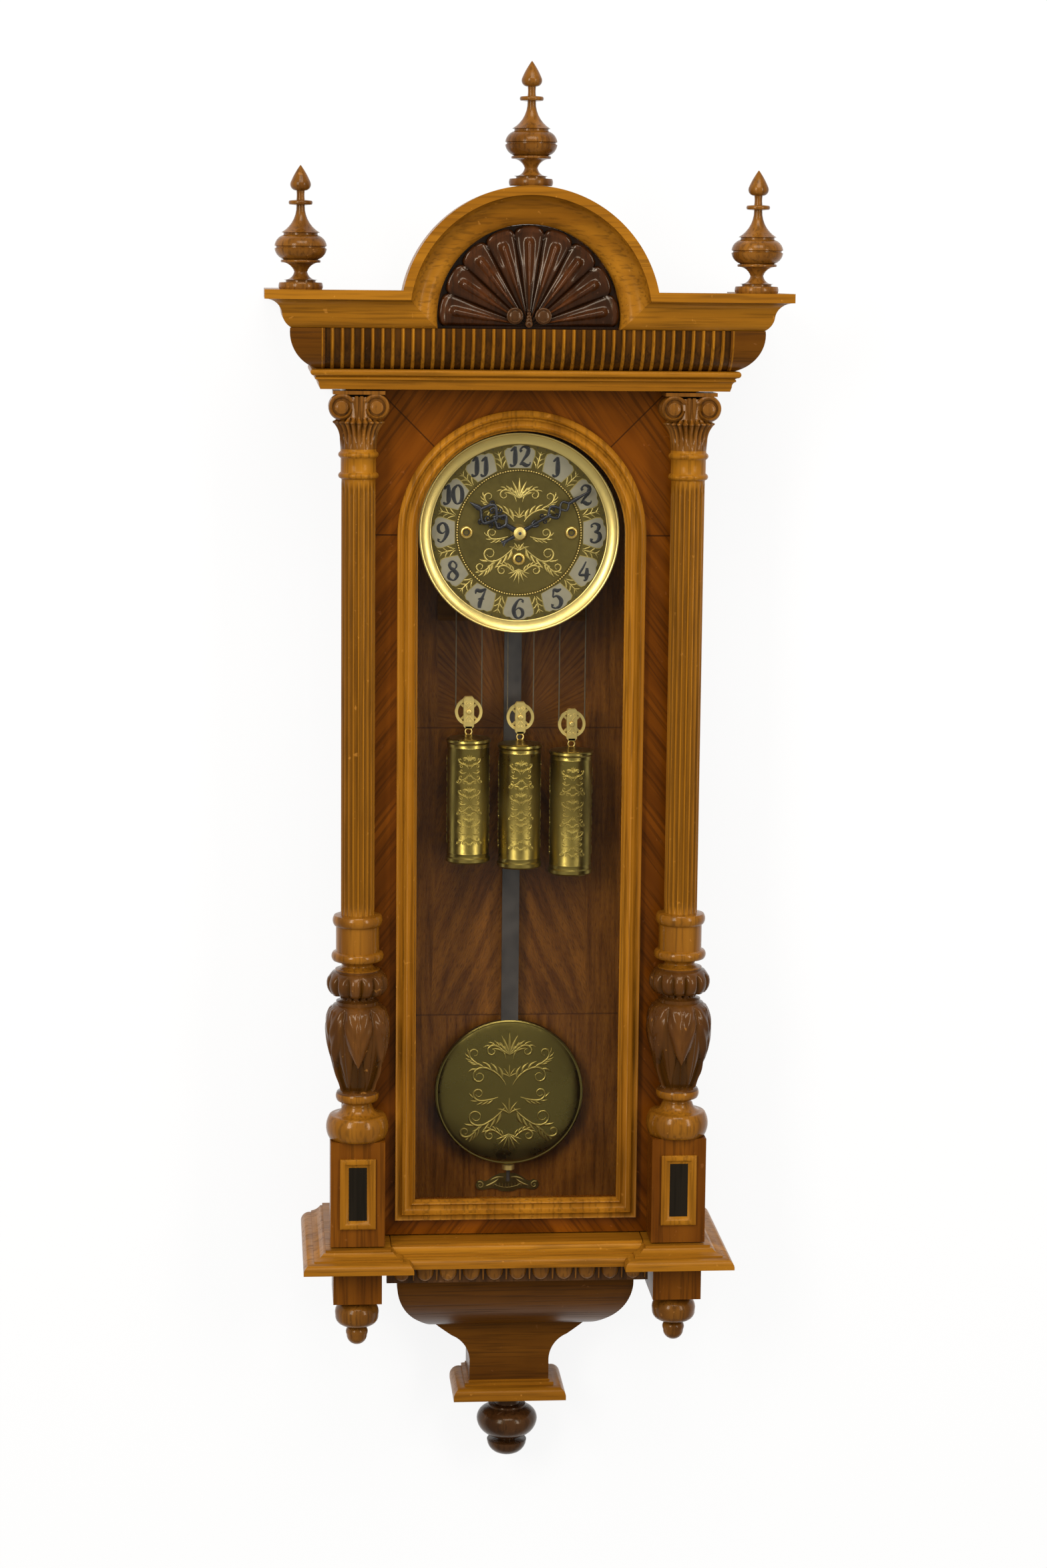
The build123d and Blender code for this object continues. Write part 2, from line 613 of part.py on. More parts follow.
# Columns: capital, fluted shaft with its necking, turned baluster and panelled plinth
behind_face = block(-CASE_HALF, 2 * CASE_HALF, 0, DOOR_FACE, DOOR_Z, DOOR_TOP)
capital_z = DOOR_TOP - CAPITAL_H
BELL = [(19, 8, 1), (24, 8, -1), (18, 24, 1), (17.3, CAPITAL_H - ABACUS_H - 40)]
capital = turned(COLUMN_X, COLUMN_DEPTH, DOOR_TOP - ABACUS_H, 19, BELL)
capital += block(
    COLUMN_X - ABACUS_HALF, COLUMN_X + ABACUS_HALF, DOOR_FACE, COLUMN_DEPTH + ABACUS_FRONT,
    DOOR_TOP - ABACUS_H, DOOR_TOP)
for x in (-VOLUTE_X, VOLUTE_X):
    capital += rod(
        COLUMN_X + x, DOOR_TOP - ABACUS_H - VOLUTE_R + 1.5, VOLUTE_R, DOOR_FACE, COLUMN_DEPTH + VOLUTE_FRONT)
capital -= behind_face
write("capitals", capital, mirrored(capital))

NECKING = [
    (17.3, 2), (RING_R, 1), (RING_R, 5, 0.8), (17.3, 1), (17.3, 13), (RING_R, 1), (RING_R, 5, 0.8),
    (SHAFT_R, 1), (SHAFT_R, 2)]
shaft_top = capital_z - height(NECKING)
shaft = Circle(SHAFT_R)
for i in range(SHAFT_FLUTES):
    a = 2 * pi * (i + 0.5) / SHAFT_FLUTES
    shaft -= Pos(SHAFT_R * cos(a), SHAFT_R * sin(a)) * Circle(FLUTE_R)
column = turned(COLUMN_X, COLUMN_DEPTH, capital_z, 17.3, NECKING)
column += Pos(COLUMN_X, -COLUMN_DEPTH, shaft_top - SHAFT_LENGTH) * extrude(shaft, SHAFT_LENGTH)
write("column_shafts", column, mirrored(column))

BALUSTER = [
    (23, 1), (23, 10, 1.6), (21.3, 1), (21.3, 25), (24.3, 1), (24.3, 8, 1.5), (20, 1),
    (14.8, 4, -1), (20, 3.5, -1), (22, 0.5), (22, 2), (25, 1), (25, 22, 4.5), (17, 1), (17, 5, -1),
    (21, 1), (21, 3), (24, 1), (30.4, 29, 2.5), (17, 58, 2.5), (20, 1), (20, 9, 1.4), (15, 1.5),
    (15, 4, -1), (27, 9, -3), (28, 1), (28, 22.5, 3), (PLINTH_HALF, 0.5)]
baluster_top = shaft_top - SHAFT_LENGTH
baluster = turned(COLUMN_X, COLUMN_DEPTH, baluster_top, SHAFT_R, BALUSTER) - behind_face
write("balusters", baluster, mirrored(baluster))

plinth_top = baluster_top - height(BALUSTER)
plinth_front = DOOR_FACE + PLINTH_DEPTH
plinth = block(
    COLUMN_X - PLINTH_HALF, COLUMN_X + PLINTH_HALF, DOOR_FACE, plinth_front, DOOR_Z, plinth_top)
panel_z = DOOR_Z + PANEL_RISE
panel_left = COLUMN_X - PANEL_HALF_W
panel_right = COLUMN_X + PANEL_HALF_W
panel = block(panel_left, panel_right, plinth_front, plinth_front + PANEL_PROUD,
              panel_z, panel_z + PANEL_H)
panel -= block(panel_left + PANEL_W, panel_right - PANEL_W, plinth_front - 1,
               plinth_front + 2 * PANEL_PROUD, panel_z + PANEL_W, panel_z + PANEL_H - PANEL_W)
inlay = block(panel_left + PANEL_W, panel_right - PANEL_W, plinth_front, plinth_front + INLAY_T,
              panel_z + PANEL_W, panel_z + PANEL_H - PANEL_W)
write("plinths", plinth, mirrored(plinth), panel, mirrored(panel), inlay, mirrored(inlay))

# Hinges on the right edge
hinge_x = CASE_HALF + HINGE_R + 0.3
hinge_depth = CASE_DEPTH + DOOR_GAP / 2
case_hinges = []
door_hinges = []
for drop in HINGE_DROPS:
    z = D - drop
    lower = Pos(hinge_x, -hinge_depth, z - KNUCKLE_H / 2) * Cylinder(HINGE_R, KNUCKLE_H)
    lower += Pos(hinge_x, -hinge_depth, z) * Cylinder(HINGE_PIN_R, 2 * KNUCKLE_H)
    lower += block(CASE_HALF, CASE_HALF + HINGE_LEAF_T, hinge_depth - HINGE_R - HINGE_LEAF_W,
                   hinge_depth, z - KNUCKLE_H, z)
    lower += block(CASE_HALF, CASE_HALF + HINGE_LEAF_T, hinge_depth - HINGE_R - HINGE_LEAF_W,
                   hinge_depth - HINGE_R - 0.2, z - KNUCKLE_H, z + KNUCKLE_H)
    case_hinges.append(lower)
    upper_z = z + RUNNING_FIT
    upper = Pos(hinge_x, -hinge_depth, upper_z + KNUCKLE_H / 2) * Cylinder(HINGE_R, KNUCKLE_H)
    upper += block(CASE_HALF, CASE_HALF + HINGE_LEAF_T, hinge_depth,
                   hinge_depth + HINGE_R + HINGE_LEAF_W, upper_z, upper_z + KNUCKLE_H)
    upper += block(CASE_HALF, CASE_HALF + HINGE_LEAF_T, hinge_depth + HINGE_R + 0.2,
                   hinge_depth + HINGE_R + HINGE_LEAF_W, z - KNUCKLE_H, z + KNUCKLE_H)
    upper -= Pos(hinge_x, -hinge_depth, z) * Cylinder(HINGE_PIN_R + RUNNING_FIT, 3 * KNUCKLE_H)
    door_hinges.append(upper)
write("case_hinges", *case_hinges)
write("door_hinges", *door_hinges)

# Movement bracket: wall plate, two arms and the seat that the movement stands on
plate_front = FRONT_PLATE_BACK + PLATE_T
barrel_places = ((-WINDING_X, D), (0.0, D - WINDING_DROP), (WINDING_X, D))
bracket = block(-PLATE_HALF, PLATE_HALF, BACK_T, BACK_T + BRACKET_T, SEAT_Z - 40, SEAT_Z - 14)
room_for_rod = ROD_W / 2 + 12
bracket -= block(-room_for_rod, room_for_rod, BACK_T, BACK_T + BRACKET_T, SEAT_Z - 24, SEAT_Z)
for x in (-BRACKET_ARM_X, BRACKET_ARM_X):
    bracket += block(x - BRACKET_ARM_W / 2, x + BRACKET_ARM_W / 2, BACK_T, plate_front,
                     SEAT_Z - 6, SEAT_Z)
    bracket += block(x - BRACKET_ARM_W / 2, x + BRACKET_ARM_W / 2, BACK_T, BACK_T + BRACKET_T,
                     SEAT_Z - BRACKET_FOOT_H, SEAT_Z)
seat = block(-PLATE_HALF, PLATE_HALF, BACK_PLATE_BACK, plate_front, SEAT_Z, SEAT_Z + SEAT_T)
for x, z in barrel_places:
    seat -= Pos(x + LINE_ON_BARREL, -WEIGHT_DEPTH, SEAT_Z) * Cylinder(3, 4 * SEAT_T)
    seat -= Pos(x + LINE_ON_BARREL - 2 * LINE_ON_PULLEY, -WEIGHT_DEPTH, SEAT_Z) * Cylinder(
        LINE_R + RUNNING_FIT, 4 * SEAT_T)
write("movement_bracket", bracket, seat)

# Going train places: third and escape arbors stand above the centre
third_z = D + (CENTRE_TEETH + THIRD_PINION_TEETH) * MODULE_THIRD / 2
escape_z = third_z + (THIRD_TEETH + ESCAPE_PINION_TEETH) * MODULE_ESCAPE / 2
minute_x = (CANNON_TEETH + MINUTE_TEETH) * MODULE_MOTION / 2
ARBORS = ((0, D), (0, third_z), (0, escape_z), (0, PIVOT_Z))

plates = []
for back in (BACK_PLATE_BACK, FRONT_PLATE_BACK):
    one = block(-PLATE_HALF, PLATE_HALF, back, back + PLATE_T, D - PLATE_BOTTOM, D + PLATE_TOP)
    for x, z in ARBORS:
        one -= rod(x, z, ARBOR_R + RUNNING_FIT, 0, 2 * plate_front)
    for x, z in barrel_places:
        one -= rod(x, z, BARREL_ARBOR_R + RUNNING_FIT, 0, 2 * plate_front)
    plates.append(one)
CENTRE_PIPE_R = 2.0
HOUR_PIPE_R = 3.4
plates[1] -= rod(0, D, CENTRE_PIPE_R + RUNNING_FIT, 0, 2 * plate_front)
pillar_gap = BACK_PLATE_BACK + PLATE_T
top_pillar_x = PLATE_HALF - PILLAR_INSET
for x in (-top_pillar_x, top_pillar_x):
    plates.append(rod(x, D + PLATE_TOP - PILLAR_INSET, PILLAR_R, pillar_gap, FRONT_PLATE_BACK))
for x in (-LOW_PILLAR_X, LOW_PILLAR_X):
    plates.append(rod(x, D - PLATE_BOTTOM + PILLAR_INSET, PILLAR_R, pillar_gap, FRONT_PLATE_BACK))
motion_back = plate_front + 1.0
motion_mid = motion_back + WHEEL_T + 0.7
gong_z = D + GONG_RISE
gong_low = gong_z - GONG_INNER_R - GONG_PITCH * (GONG_TURNS - 0.5) - GONG_WIRE_R
hammer_z = gong_low - 1.2 - HAMMER_HEAD_H / 2
plates.append(rod(minute_x, D, ARBOR_R, plate_front, motion_mid + WHEEL_T + 0.3))
plates.append(rod(HAMMER_X, hammer_z, ARBOR_R, GONG_DEPTH - 3, BACK_PLATE_BACK))
write("movement_plates", *plates)

# Dial: a spun brass pan on three feet, a silvered chapter ring and an embossed centre
pan_back = DIAL_FRONT - PAN_LIP_H
pan = rod(0, D, PAN_R - 2, pan_back, pan_back + PAN_T)
lip_r = PAN_R - PAN_LIP_W
LIP = [
    (lip_r, pan_back), (PAN_R - 1.5, pan_back), (PAN_R, pan_back + 3, -0.8),
    (PAN_R - 5, DIAL_FRONT + 2.5, -1.6), (lip_r, DIAL_FRONT, 0.8)]
lip = mirror(revolve(outline(LIP[0], *LIP[1:]), Axis.Y, 360), about=Plane.XZ)
pan += Pos(0, 0, D) * lip
for x, z in ((-60.0, -36.0), (60.0, -36.0), (-40.0, 50.0), (40.0, 50.0)):
    pan += rod(x, D + z, 3, plate_front, pan_back)
pan -= rod(0, D, HOUR_PIPE_R + 1.5, 0, 2 * DIAL_FRONT)
for x, z in barrel_places:
    pan -= rod(x, z, KEY_HOLE_R, 0, 2 * DIAL_FRONT)
write("dial_pan", pan)

chapter_back = pan_back + PAN_T
chapter_top = chapter_back + CHAPTER_T
chapter = rod(0, D, lip_r - 0.2, chapter_back, chapter_top)
chapter -= rod(0, D, DIAL_CENTRE_R + 0.2, 0, 2 * DIAL_FRONT)
write("chapter_ring", chapter)

disc = rod(0, D, DIAL_CENTRE_R, chapter_back, chapter_top - 0.5)
disc += rod(0, D, DIAL_CENTRE_R, chapter_back, chapter_top + 1.5) - rod(
    0, D, DIAL_CENTRE_R - DIAL_BEAD_W, 0, 2 * DIAL_FRONT)
disc -= rod(0, D, HOUR_PIPE_R + 1.5, 0, 2 * DIAL_FRONT)
for x, z in barrel_places:
    disc += rod(x, z, GROMMET_R, chapter_back, chapter_top + 0.8)
    disc -= rod(x, z, KEY_HOLE_R, 0, 2 * DIAL_FRONT)
write("dial_centre", disc)


def hand(length, tail, head_at, head_half, depth, angle, bore):
    """A pierced hand: a slim blade with an open scrolled head, turned to its hour."""
    ring_r = head_half
    head = Pos(0, head_at) * (Circle(ring_r) - Circle(ring_r - 1.6))
    low = Pos(0, head_at - 1.6 * ring_r) * (Circle(0.7 * ring_r) - Circle(0.7 * ring_r - 1.4))
    blade = Pos(0, head_at / 2) * Rectangle(2.4, head_at) + head + low
    blade += Pos(0, (head_at + length) / 2) * Rectangle(1.8, length - head_at)
    blade += Pos(0, -tail / 2) * Rectangle(2.4, tail) + Circle(HAND_BOSS_R)
    blade -= Circle(bore)
    return plate(Pos(0, D) * Rot(0, 0, -angle) * blade, depth, depth + HAND_T)


# Hands on their pipes, with the motion work behind the dial
hour_depth = DIAL_FRONT + 1.5
minute_depth = hour_depth + 2.5
minute_hand = hand(
    MINUTE_HAND_L, MINUTE_TAIL_L, 46, 7.5, minute_depth, MINUTE_ANGLE, CENTRE_PIPE_R)
write("minute_hand", minute_hand)
centre_back = BACK_PLATE_BACK
centre = rod(0, D, ARBOR_R, centre_back, pillar_gap + 1)
centre += rod(0, D, CENTRE_PIPE_R, pillar_gap + 0.5, minute_depth + HAND_T + 2)
centre += rod(0, D, HAND_BOSS_R - 1.5, minute_depth + HAND_T, minute_depth + HAND_T + 2.5)
centre += gear(0, D, CENTRE_PINION_TEETH, MODULE_GREAT, 39.5, 45.5, 0.0)
centre += gear(0, D, CENTRE_TEETH, MODULE_THIRD, 64.5, 66, 0.0)
centre += gear(0, D, CANNON_TEETH, MODULE_MOTION, motion_back, motion_back + WHEEL_T, 0.0)
write("centre_wheel", centre)

hour = rod(0, D, HOUR_PIPE_R, motion_mid, hour_depth + HAND_T)
hour += gear(0, D, HOUR_TEETH, MODULE_MOTION * 48 / 50, motion_mid, motion_mid + WHEEL_T)
hour += hand(HOUR_HAND_L, HOUR_TAIL_L, 35, 8, hour_depth, HOUR_ANGLE, HOUR_PIPE_R)
hour -= rod(0, D, CENTRE_PIPE_R + RUNNING_FIT, 0, 2 * DIAL_FRONT)
write("hour_hand", hour)

minute_wheel = gear(minute_x, D, MINUTE_TEETH, MODULE_MOTION, motion_back, motion_back + WHEEL_T, 0.5)
minute_wheel += gear(minute_x, D, MINUTE_PINION_TEETH, MODULE_MOTION * 48 / 50,
                     motion_back + WHEEL_T, motion_mid + WHEEL_T, 0.5)
minute_wheel -= rod(minute_x, D, ARBOR_R + RUNNING_FIT, 0, 2 * DIAL_FRONT)
write("minute_wheel", minute_wheel)

# Great wheel on the going barrel's arbor, third wheel and escape wheel
great = gear(0, D - WINDING_DROP, GREAT_TEETH, MODULE_GREAT, 41.5, 43.5, 0.5)
great -= rod(0, D - WINDING_DROP, BARREL_ARBOR_R + RUNNING_FIT, 0, plate_front)
write("great_wheel", great)

third = rod(0, third_z, ARBOR_R, BACK_PLATE_BACK, plate_front)
third += gear(0, third_z, THIRD_PINION_TEETH, MODULE_THIRD, 62.5, 68, 0.5)
third += gear(0, third_z, THIRD_TEETH, MODULE_ESCAPE, 46.5, 48, 0.0)
write("third_wheel", third)

escape = rod(0, escape_z, ARBOR_R, BACK_PLATE_BACK, plate_front)
escape += gear(0, escape_z, ESCAPE_PINION_TEETH, MODULE_ESCAPE, 44.5, 50, 0.5)
escape += gear(0, escape_z, ESCAPE_TEETH, 2 * ESCAPE_R / ESCAPE_TEETH, 54.5, 56)
write("escape_wheel", escape)

# Pallets, their arbor and the crutch that follows the pendulum
crutch_depth = 31.5
crutch = rod(0, PIVOT_Z, ARBOR_R, crutch_depth, plate_front)
span = ESCAPE_R + 2.6
PALLET_FALL = 12.0
pallets = plate(
    outline(
        (-span, PIVOT_Z - PALLET_FALL), (-span + 2.4, PIVOT_Z - PALLET_FALL),
        (-span + 4.4, PIVOT_Z - 3), (span - 4.4, PIVOT_Z - 3),
        (span - 2.4, PIVOT_Z - PALLET_FALL), (span, PIVOT_Z - PALLET_FALL),
        (span - 3, PIVOT_Z + 3), (-span + 3, PIVOT_Z + 3)), 53, 57)
pallets -= rod(0, escape_z, ESCAPE_R + 0.9, 0, plate_front)
crutch += pallets
crutch += block(-2, 2, crutch_depth, crutch_depth + 1.5, PIVOT_Z - CRUTCH_L, PIVOT_Z + 3)
pin_back = PENDULUM_DEPTH - ROD_T / 2
crutch += rod(0, PIVOT_Z - CRUTCH_L + 3, ARBOR_R, pin_back, crutch_depth + 1)
write("crutch", crutch)

# Suspension cock on the back plate, with two ears for the suspension pin
ear_room = SPRING_W / 2 + 0.6
EAR_T = 2.0
cock = block(-7, 7, PENDULUM_DEPTH - ear_room - EAR_T, BACK_PLATE_BACK, PIVOT_Z + 4, PIVOT_Z + 8)
for depth in (PENDULUM_DEPTH - ear_room - EAR_T, PENDULUM_DEPTH + ear_room):
    cock += block(-4, 4, depth, depth + EAR_T, PIVOT_Z - 3.5, PIVOT_Z + 4.5)
cock -= rod(0, PIVOT_Z, SUSPENSION_PIN_R + RUNNING_FIT, 0, crutch_depth - 0.5)
write("suspension_cock", cock)

# Pendulum: spring with its pin, wooden rod with a threaded tip, bob and rating nut
rod_top = PIVOT_Z - 26
pin_reach = ear_room + EAR_T
spring = rod(0, PIVOT_Z, SUSPENSION_PIN_R, PENDULUM_DEPTH - pin_reach, PENDULUM_DEPTH + pin_reach)
spring += block(-SPRING_T / 2, SPRING_T / 2, PENDULUM_DEPTH - SPRING_W / 2,
                PENDULUM_DEPTH + SPRING_W / 2, rod_top, PIVOT_Z)
write("suspension_spring", spring)

bob_z = D - BOB_DROP
tip_top = bob_z - BOB_R + 24
pendulum_rod = block(-ROD_W / 2, ROD_W / 2, PENDULUM_DEPTH - ROD_T / 2, PENDULUM_DEPTH + ROD_T / 2,
                     tip_top, rod_top)
pendulum_rod += Pos(0, -PENDULUM_DEPTH, tip_top - (TIP_L + 24) / 2) * Cylinder(TIP_R, TIP_L + 24)
pendulum_rod -= rod(0, PIVOT_Z - CRUTCH_L + 3, ARBOR_R + RUNNING_FIT, 0, crutch_depth)
write("pendulum_rod", pendulum_rod)

BOB = [
    (0, -BOB_T / 2), (BOB_R - 6, -BOB_T / 2), (BOB_R, 0, -2), (BOB_R - 6, BOB_T / 2, -2),
    (0, BOB_T / 2)]
bob = revolve(outline(BOB[0], *BOB[1:]), Axis.Y, 360)
bob = Pos(0, -PENDULUM_DEPTH, bob_z) * bob
slot = ROD_W / 2 + 0.4
slot_t = ROD_T / 2 + 0.4
bob -= block(-slot, slot, PENDULUM_DEPTH - slot_t, PENDULUM_DEPTH + slot_t,
             tip_top - 8, bob_z + 2 * BOB_R)
bob -= Pos(0, -PENDULUM_DEPTH, bob_z - BOB_R) * Cylinder(TIP_R + RUNNING_FIT, BOB_R)
write("bob", bob)

nut = Pos(0, -PENDULUM_DEPTH, bob_z - BOB_R - NUT_H / 2 - 0.1) * Cylinder(NUT_R, NUT_H)
nut -= Pos(0, -PENDULUM_DEPTH, bob_z - BOB_R) * Cylinder(TIP_R + RUNNING_FIT, BOB_R)
write("rating_nut", nut)

# Beat plate on the backboard under the bob
beat_z = D - BEAT_DROP
beat = block(-BEAT_HALF, BEAT_HALF, BACK_T, BACK_T + 1.5, beat_z - BEAT_H / 4, beat_z + BEAT_H / 4)
beat += plate(
    outline((-BEAT_H, beat_z), (BEAT_H, beat_z, -BEAT_H / 2), (-BEAT_H, beat_z, -BEAT_H / 2)),
    BACK_T, BACK_T + 1.5)
write("beat_plate", beat)

# Barrels, weights, pulleys and lines
side_names = ("left", "centre", "right")
for name, (x, z), drop in zip(side_names, barrel_places, PULLEY_DROPS):
    barrel = rod(x, z, BARREL_R, BARREL_BACK, BARREL_FRONT)
    barrel += rod(x, z, BARREL_FLANGE_R, BARREL_BACK - WHEEL_T, BARREL_BACK)
    barrel += rod(x, z, BARREL_FLANGE_R, BARREL_FRONT, BARREL_FRONT + WHEEL_T)
    barrel += rod(x, z, BARREL_ARBOR_R, BACK_PLATE_BACK, plate_front)
    barrel += block(x - SQUARE / 2, x + SQUARE / 2, plate_front, pan_back, z - SQUARE / 2,
                    z + SQUARE / 2)
    if name != "centre":
        barrel += gear(x, z, 84, 2 * SIDE_GREAT_R / 84, 39.5, 41.5)
    write(f"barrel_{name}", barrel)

    pulley_x = x + LINE_ON_BARREL - LINE_ON_PULLEY
    pulley_z = D - drop
    pulley = rod(pulley_x, pulley_z, PULLEY_R, WEIGHT_DEPTH - PULLEY_T / 2,
                 WEIGHT_DEPTH + PULLEY_T / 2)
    groove_out = outline(
        (pulley_x + PULLEY_GROOVE_R, -WEIGHT_DEPTH - LINE_R - 0.1),
        (pulley_x + PULLEY_R + 1, -WEIGHT_DEPTH - PULLEY_T / 2 + 0.6),
        (pulley_x + PULLEY_R + 1, -WEIGHT_DEPTH + PULLEY_T / 2 - 0.6),
        (pulley_x + PULLEY_GROOVE_R, -WEIGHT_DEPTH + LINE_R + 0.1))
    pulley_axis = Axis((pulley_x, 0, pulley_z), (0, 1, 0))
    pulley -= revolve(Pos(0, 0, pulley_z) * groove_out, pulley_axis, 360)
    for quarter in range(4):
        a = pi / 4 + quarter * pi / 2
        pulley -= rod(pulley_x + 7 * cos(a), pulley_z + 7 * sin(a), 3.4, 0, plate_front)
    pulley -= rod(pulley_x, pulley_z, ARBOR_R + RUNNING_FIT, 0, plate_front)
    write(f"pulley_{name}", pulley)

    strap_top = pulley_z + 15.5
    strap_low = pulley_z - 16.5
    inner = WEIGHT_DEPTH + PULLEY_T / 2 + 0.3
    weight_top = pulley_z - WEIGHT_GAP
    hanger = block(pulley_x - STRAP_W / 2, pulley_x + STRAP_W / 2, inner, inner + STRAP_T,
                   strap_low, strap_top)
    back_strap = 2 * WEIGHT_DEPTH - inner
    hanger += block(pulley_x - STRAP_W / 2, pulley_x + STRAP_W / 2, back_strap - STRAP_T,
                    back_strap, strap_low, strap_top)
    hanger += block(pulley_x - STRAP_W / 2, pulley_x + STRAP_W / 2, back_strap - STRAP_T,
                    inner + STRAP_T, strap_low, strap_low + 2)
    hanger += rod(pulley_x, pulley_z, ARBOR_R, back_strap - STRAP_T - 1, inner + STRAP_T + 1)
    hanger += Pos(pulley_x, -WEIGHT_DEPTH, (strap_low + weight_top) / 2) * Cylinder(
        1.5, strap_low - weight_top)
    cylinder = turned(pulley_x, WEIGHT_DEPTH, weight_top, 6, [
        (WEIGHT_R - 1.5, 2.5), (WEIGHT_R, 1.5, 0.4), (WEIGHT_R, WEIGHT_L - 5.5), (WEIGHT_R - 1.5, 1.5)])
    write(f"weight_{name}", hanger, cylinder)

    barrel_strand = pulley_x + LINE_ON_PULLEY
    fixed_strand = pulley_x - LINE_ON_PULLEY
    knot_z = SEAT_Z + SEAT_T
    path = Wire([
        Edge.make_line((barrel_strand, -WEIGHT_DEPTH, z), (barrel_strand, -WEIGHT_DEPTH, pulley_z)),
        Edge.make_three_point_arc(
            (barrel_strand, -WEIGHT_DEPTH, pulley_z),
            (pulley_x, -WEIGHT_DEPTH, pulley_z - LINE_ON_PULLEY),
            (fixed_strand, -WEIGHT_DEPTH, pulley_z)),
        Edge.make_line((fixed_strand, -WEIGHT_DEPTH, pulley_z),
                       (fixed_strand, -WEIGHT_DEPTH, knot_z))])
    line = sweep(Pos(barrel_strand, -WEIGHT_DEPTH, z) * Circle(LINE_R), path)
    line += Pos(fixed_strand, -WEIGHT_DEPTH, knot_z + 1) * Cylinder(2 * LINE_R, 2)
    write(f"line_{name}", line)

# Gong: a flat coil of steel wire on an iron block, and its hammer
gong_block = block(GONG_X - 9, GONG_X + 9, BACK_T, GONG_DEPTH - 4, gong_z - 8, gong_z + 8)
gong_block += rod(GONG_X, gong_z, 5, GONG_DEPTH - 4, GONG_DEPTH + 4)
halves = []
radius = GONG_INNER_R
left = GONG_X - radius
for half in range(2 * GONG_TURNS):
    heading = 1 if half % 2 == 0 else -1
    right = left + heading * 2 * radius
    middle = (left + right) / 2
    halves.append(Edge.make_three_point_arc(
        (left, -GONG_DEPTH, gong_z), (middle, -GONG_DEPTH, gong_z + heading * radius),
        (right, -GONG_DEPTH, gong_z)))
    left = right
    radius += GONG_PITCH / 2
print("least gap between gong turns", GONG_PITCH - 2 * GONG_WIRE_R)
coil = sweep(Pos(GONG_X - GONG_INNER_R, -GONG_DEPTH, gong_z) * Circle(GONG_WIRE_R), Wire(halves))
tail = block(GONG_X - GONG_INNER_R - 1.5, GONG_X - 4, GONG_DEPTH - 1.5, GONG_DEPTH + 1.5,
             gong_z - 3, gong_z)
write("gong", gong_block + tail, coil)

hammer = block(HAMMER_X, GONG_X, GONG_DEPTH - 1, GONG_DEPTH + 1, hammer_z - 1.2, hammer_z + 1.2)
hammer += rod(HAMMER_X, hammer_z, 3, GONG_DEPTH - 2, BACK_PLATE_BACK - 0.4)
hammer += Pos(GONG_X, -GONG_DEPTH, hammer_z) * Cylinder(HAMMER_HEAD_R, HAMMER_HEAD_H)
hammer -= rod(HAMMER_X, hammer_z, ARBOR_R + RUNNING_FIT, 0, plate_front)
write("hammer", hammer)
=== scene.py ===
# %% [markdown]
# # A wall-hung three-weight regulator clock
# The tall case, the works and every joint come from the measured model. This lesson dresses them:
# turned and carved wood, polished veneer, brass, a silvered dial and old glass.
# All sizes below are millimetres in the clock's own frame: the wall is y = 0, the front faces -Y,
# and the origin is the hole of the hanger plate.

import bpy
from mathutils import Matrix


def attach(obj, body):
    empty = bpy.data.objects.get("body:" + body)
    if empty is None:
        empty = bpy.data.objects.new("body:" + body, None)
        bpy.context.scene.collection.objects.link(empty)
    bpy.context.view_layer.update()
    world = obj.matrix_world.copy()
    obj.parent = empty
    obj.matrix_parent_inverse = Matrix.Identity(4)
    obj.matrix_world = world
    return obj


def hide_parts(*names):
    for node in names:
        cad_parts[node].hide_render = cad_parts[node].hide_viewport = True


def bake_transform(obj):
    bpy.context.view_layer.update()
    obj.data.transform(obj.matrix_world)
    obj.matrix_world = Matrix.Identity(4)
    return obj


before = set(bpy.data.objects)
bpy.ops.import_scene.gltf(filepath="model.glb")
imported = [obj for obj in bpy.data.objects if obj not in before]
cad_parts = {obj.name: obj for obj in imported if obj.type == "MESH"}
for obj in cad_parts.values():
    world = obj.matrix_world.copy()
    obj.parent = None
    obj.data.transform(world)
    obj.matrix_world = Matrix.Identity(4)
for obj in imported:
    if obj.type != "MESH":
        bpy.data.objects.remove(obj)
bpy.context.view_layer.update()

import bpy
import bmesh
from math import atan2, cos, pi, radians, sin, sqrt
from mathutils import Matrix, Vector

MM = 0.001
DIAL_Z = -200.0
print("nodes from the model:", len(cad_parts))

# %% [markdown]
# ## The camera
# The photograph was taken from a little above the dial and to the clock's left. Its place and lens
# were worked out from the known sizes of the case, so the camera is built from three directions
# rather than aimed by eye.

# %% The camera
YAW = 0.0823
PITCH = 0.1560
ROLL = 0.0097
FOCAL_PIXELS = 4920.9
PHOTO_HEIGHT = 2349

forward = Vector((sin(YAW) * cos(PITCH), cos(YAW) * cos(PITCH), -sin(PITCH)))
level = Vector((cos(YAW), -sin(YAW), 0))
upright = level.cross(forward)
right = cos(ROLL) * level + sin(ROLL) * upright
up = cos(ROLL) * upright - sin(ROLL) * level
camera_data = bpy.data.cameras.new("camera")
camera_data.sensor_fit = "VERTICAL"
camera_data.sensor_height = 36.0
camera_data.lens = FOCAL_PIXELS / PHOTO_HEIGHT * 36.0
camera = bpy.data.objects.new("camera", camera_data)
camera.matrix_world = Matrix((
    (right.x, up.x, -forward.x, -0.2595),
    (right.y, up.y, -forward.y, -3.3176),
    (right.z, up.z, -forward.z, 0.0585),
    (0, 0, 0, 1)))
bpy.context.collection.objects.link(camera)
bpy.context.scene.camera = camera

# %% [markdown]
# ## Light and wall
# A pale wall right behind the clock, a broad soft lamp from above and two tall soft lamps, whose
# reflections give turned wood its paired highlights. The wall is one-sided, so that the back of the
# clock can be looked at too.

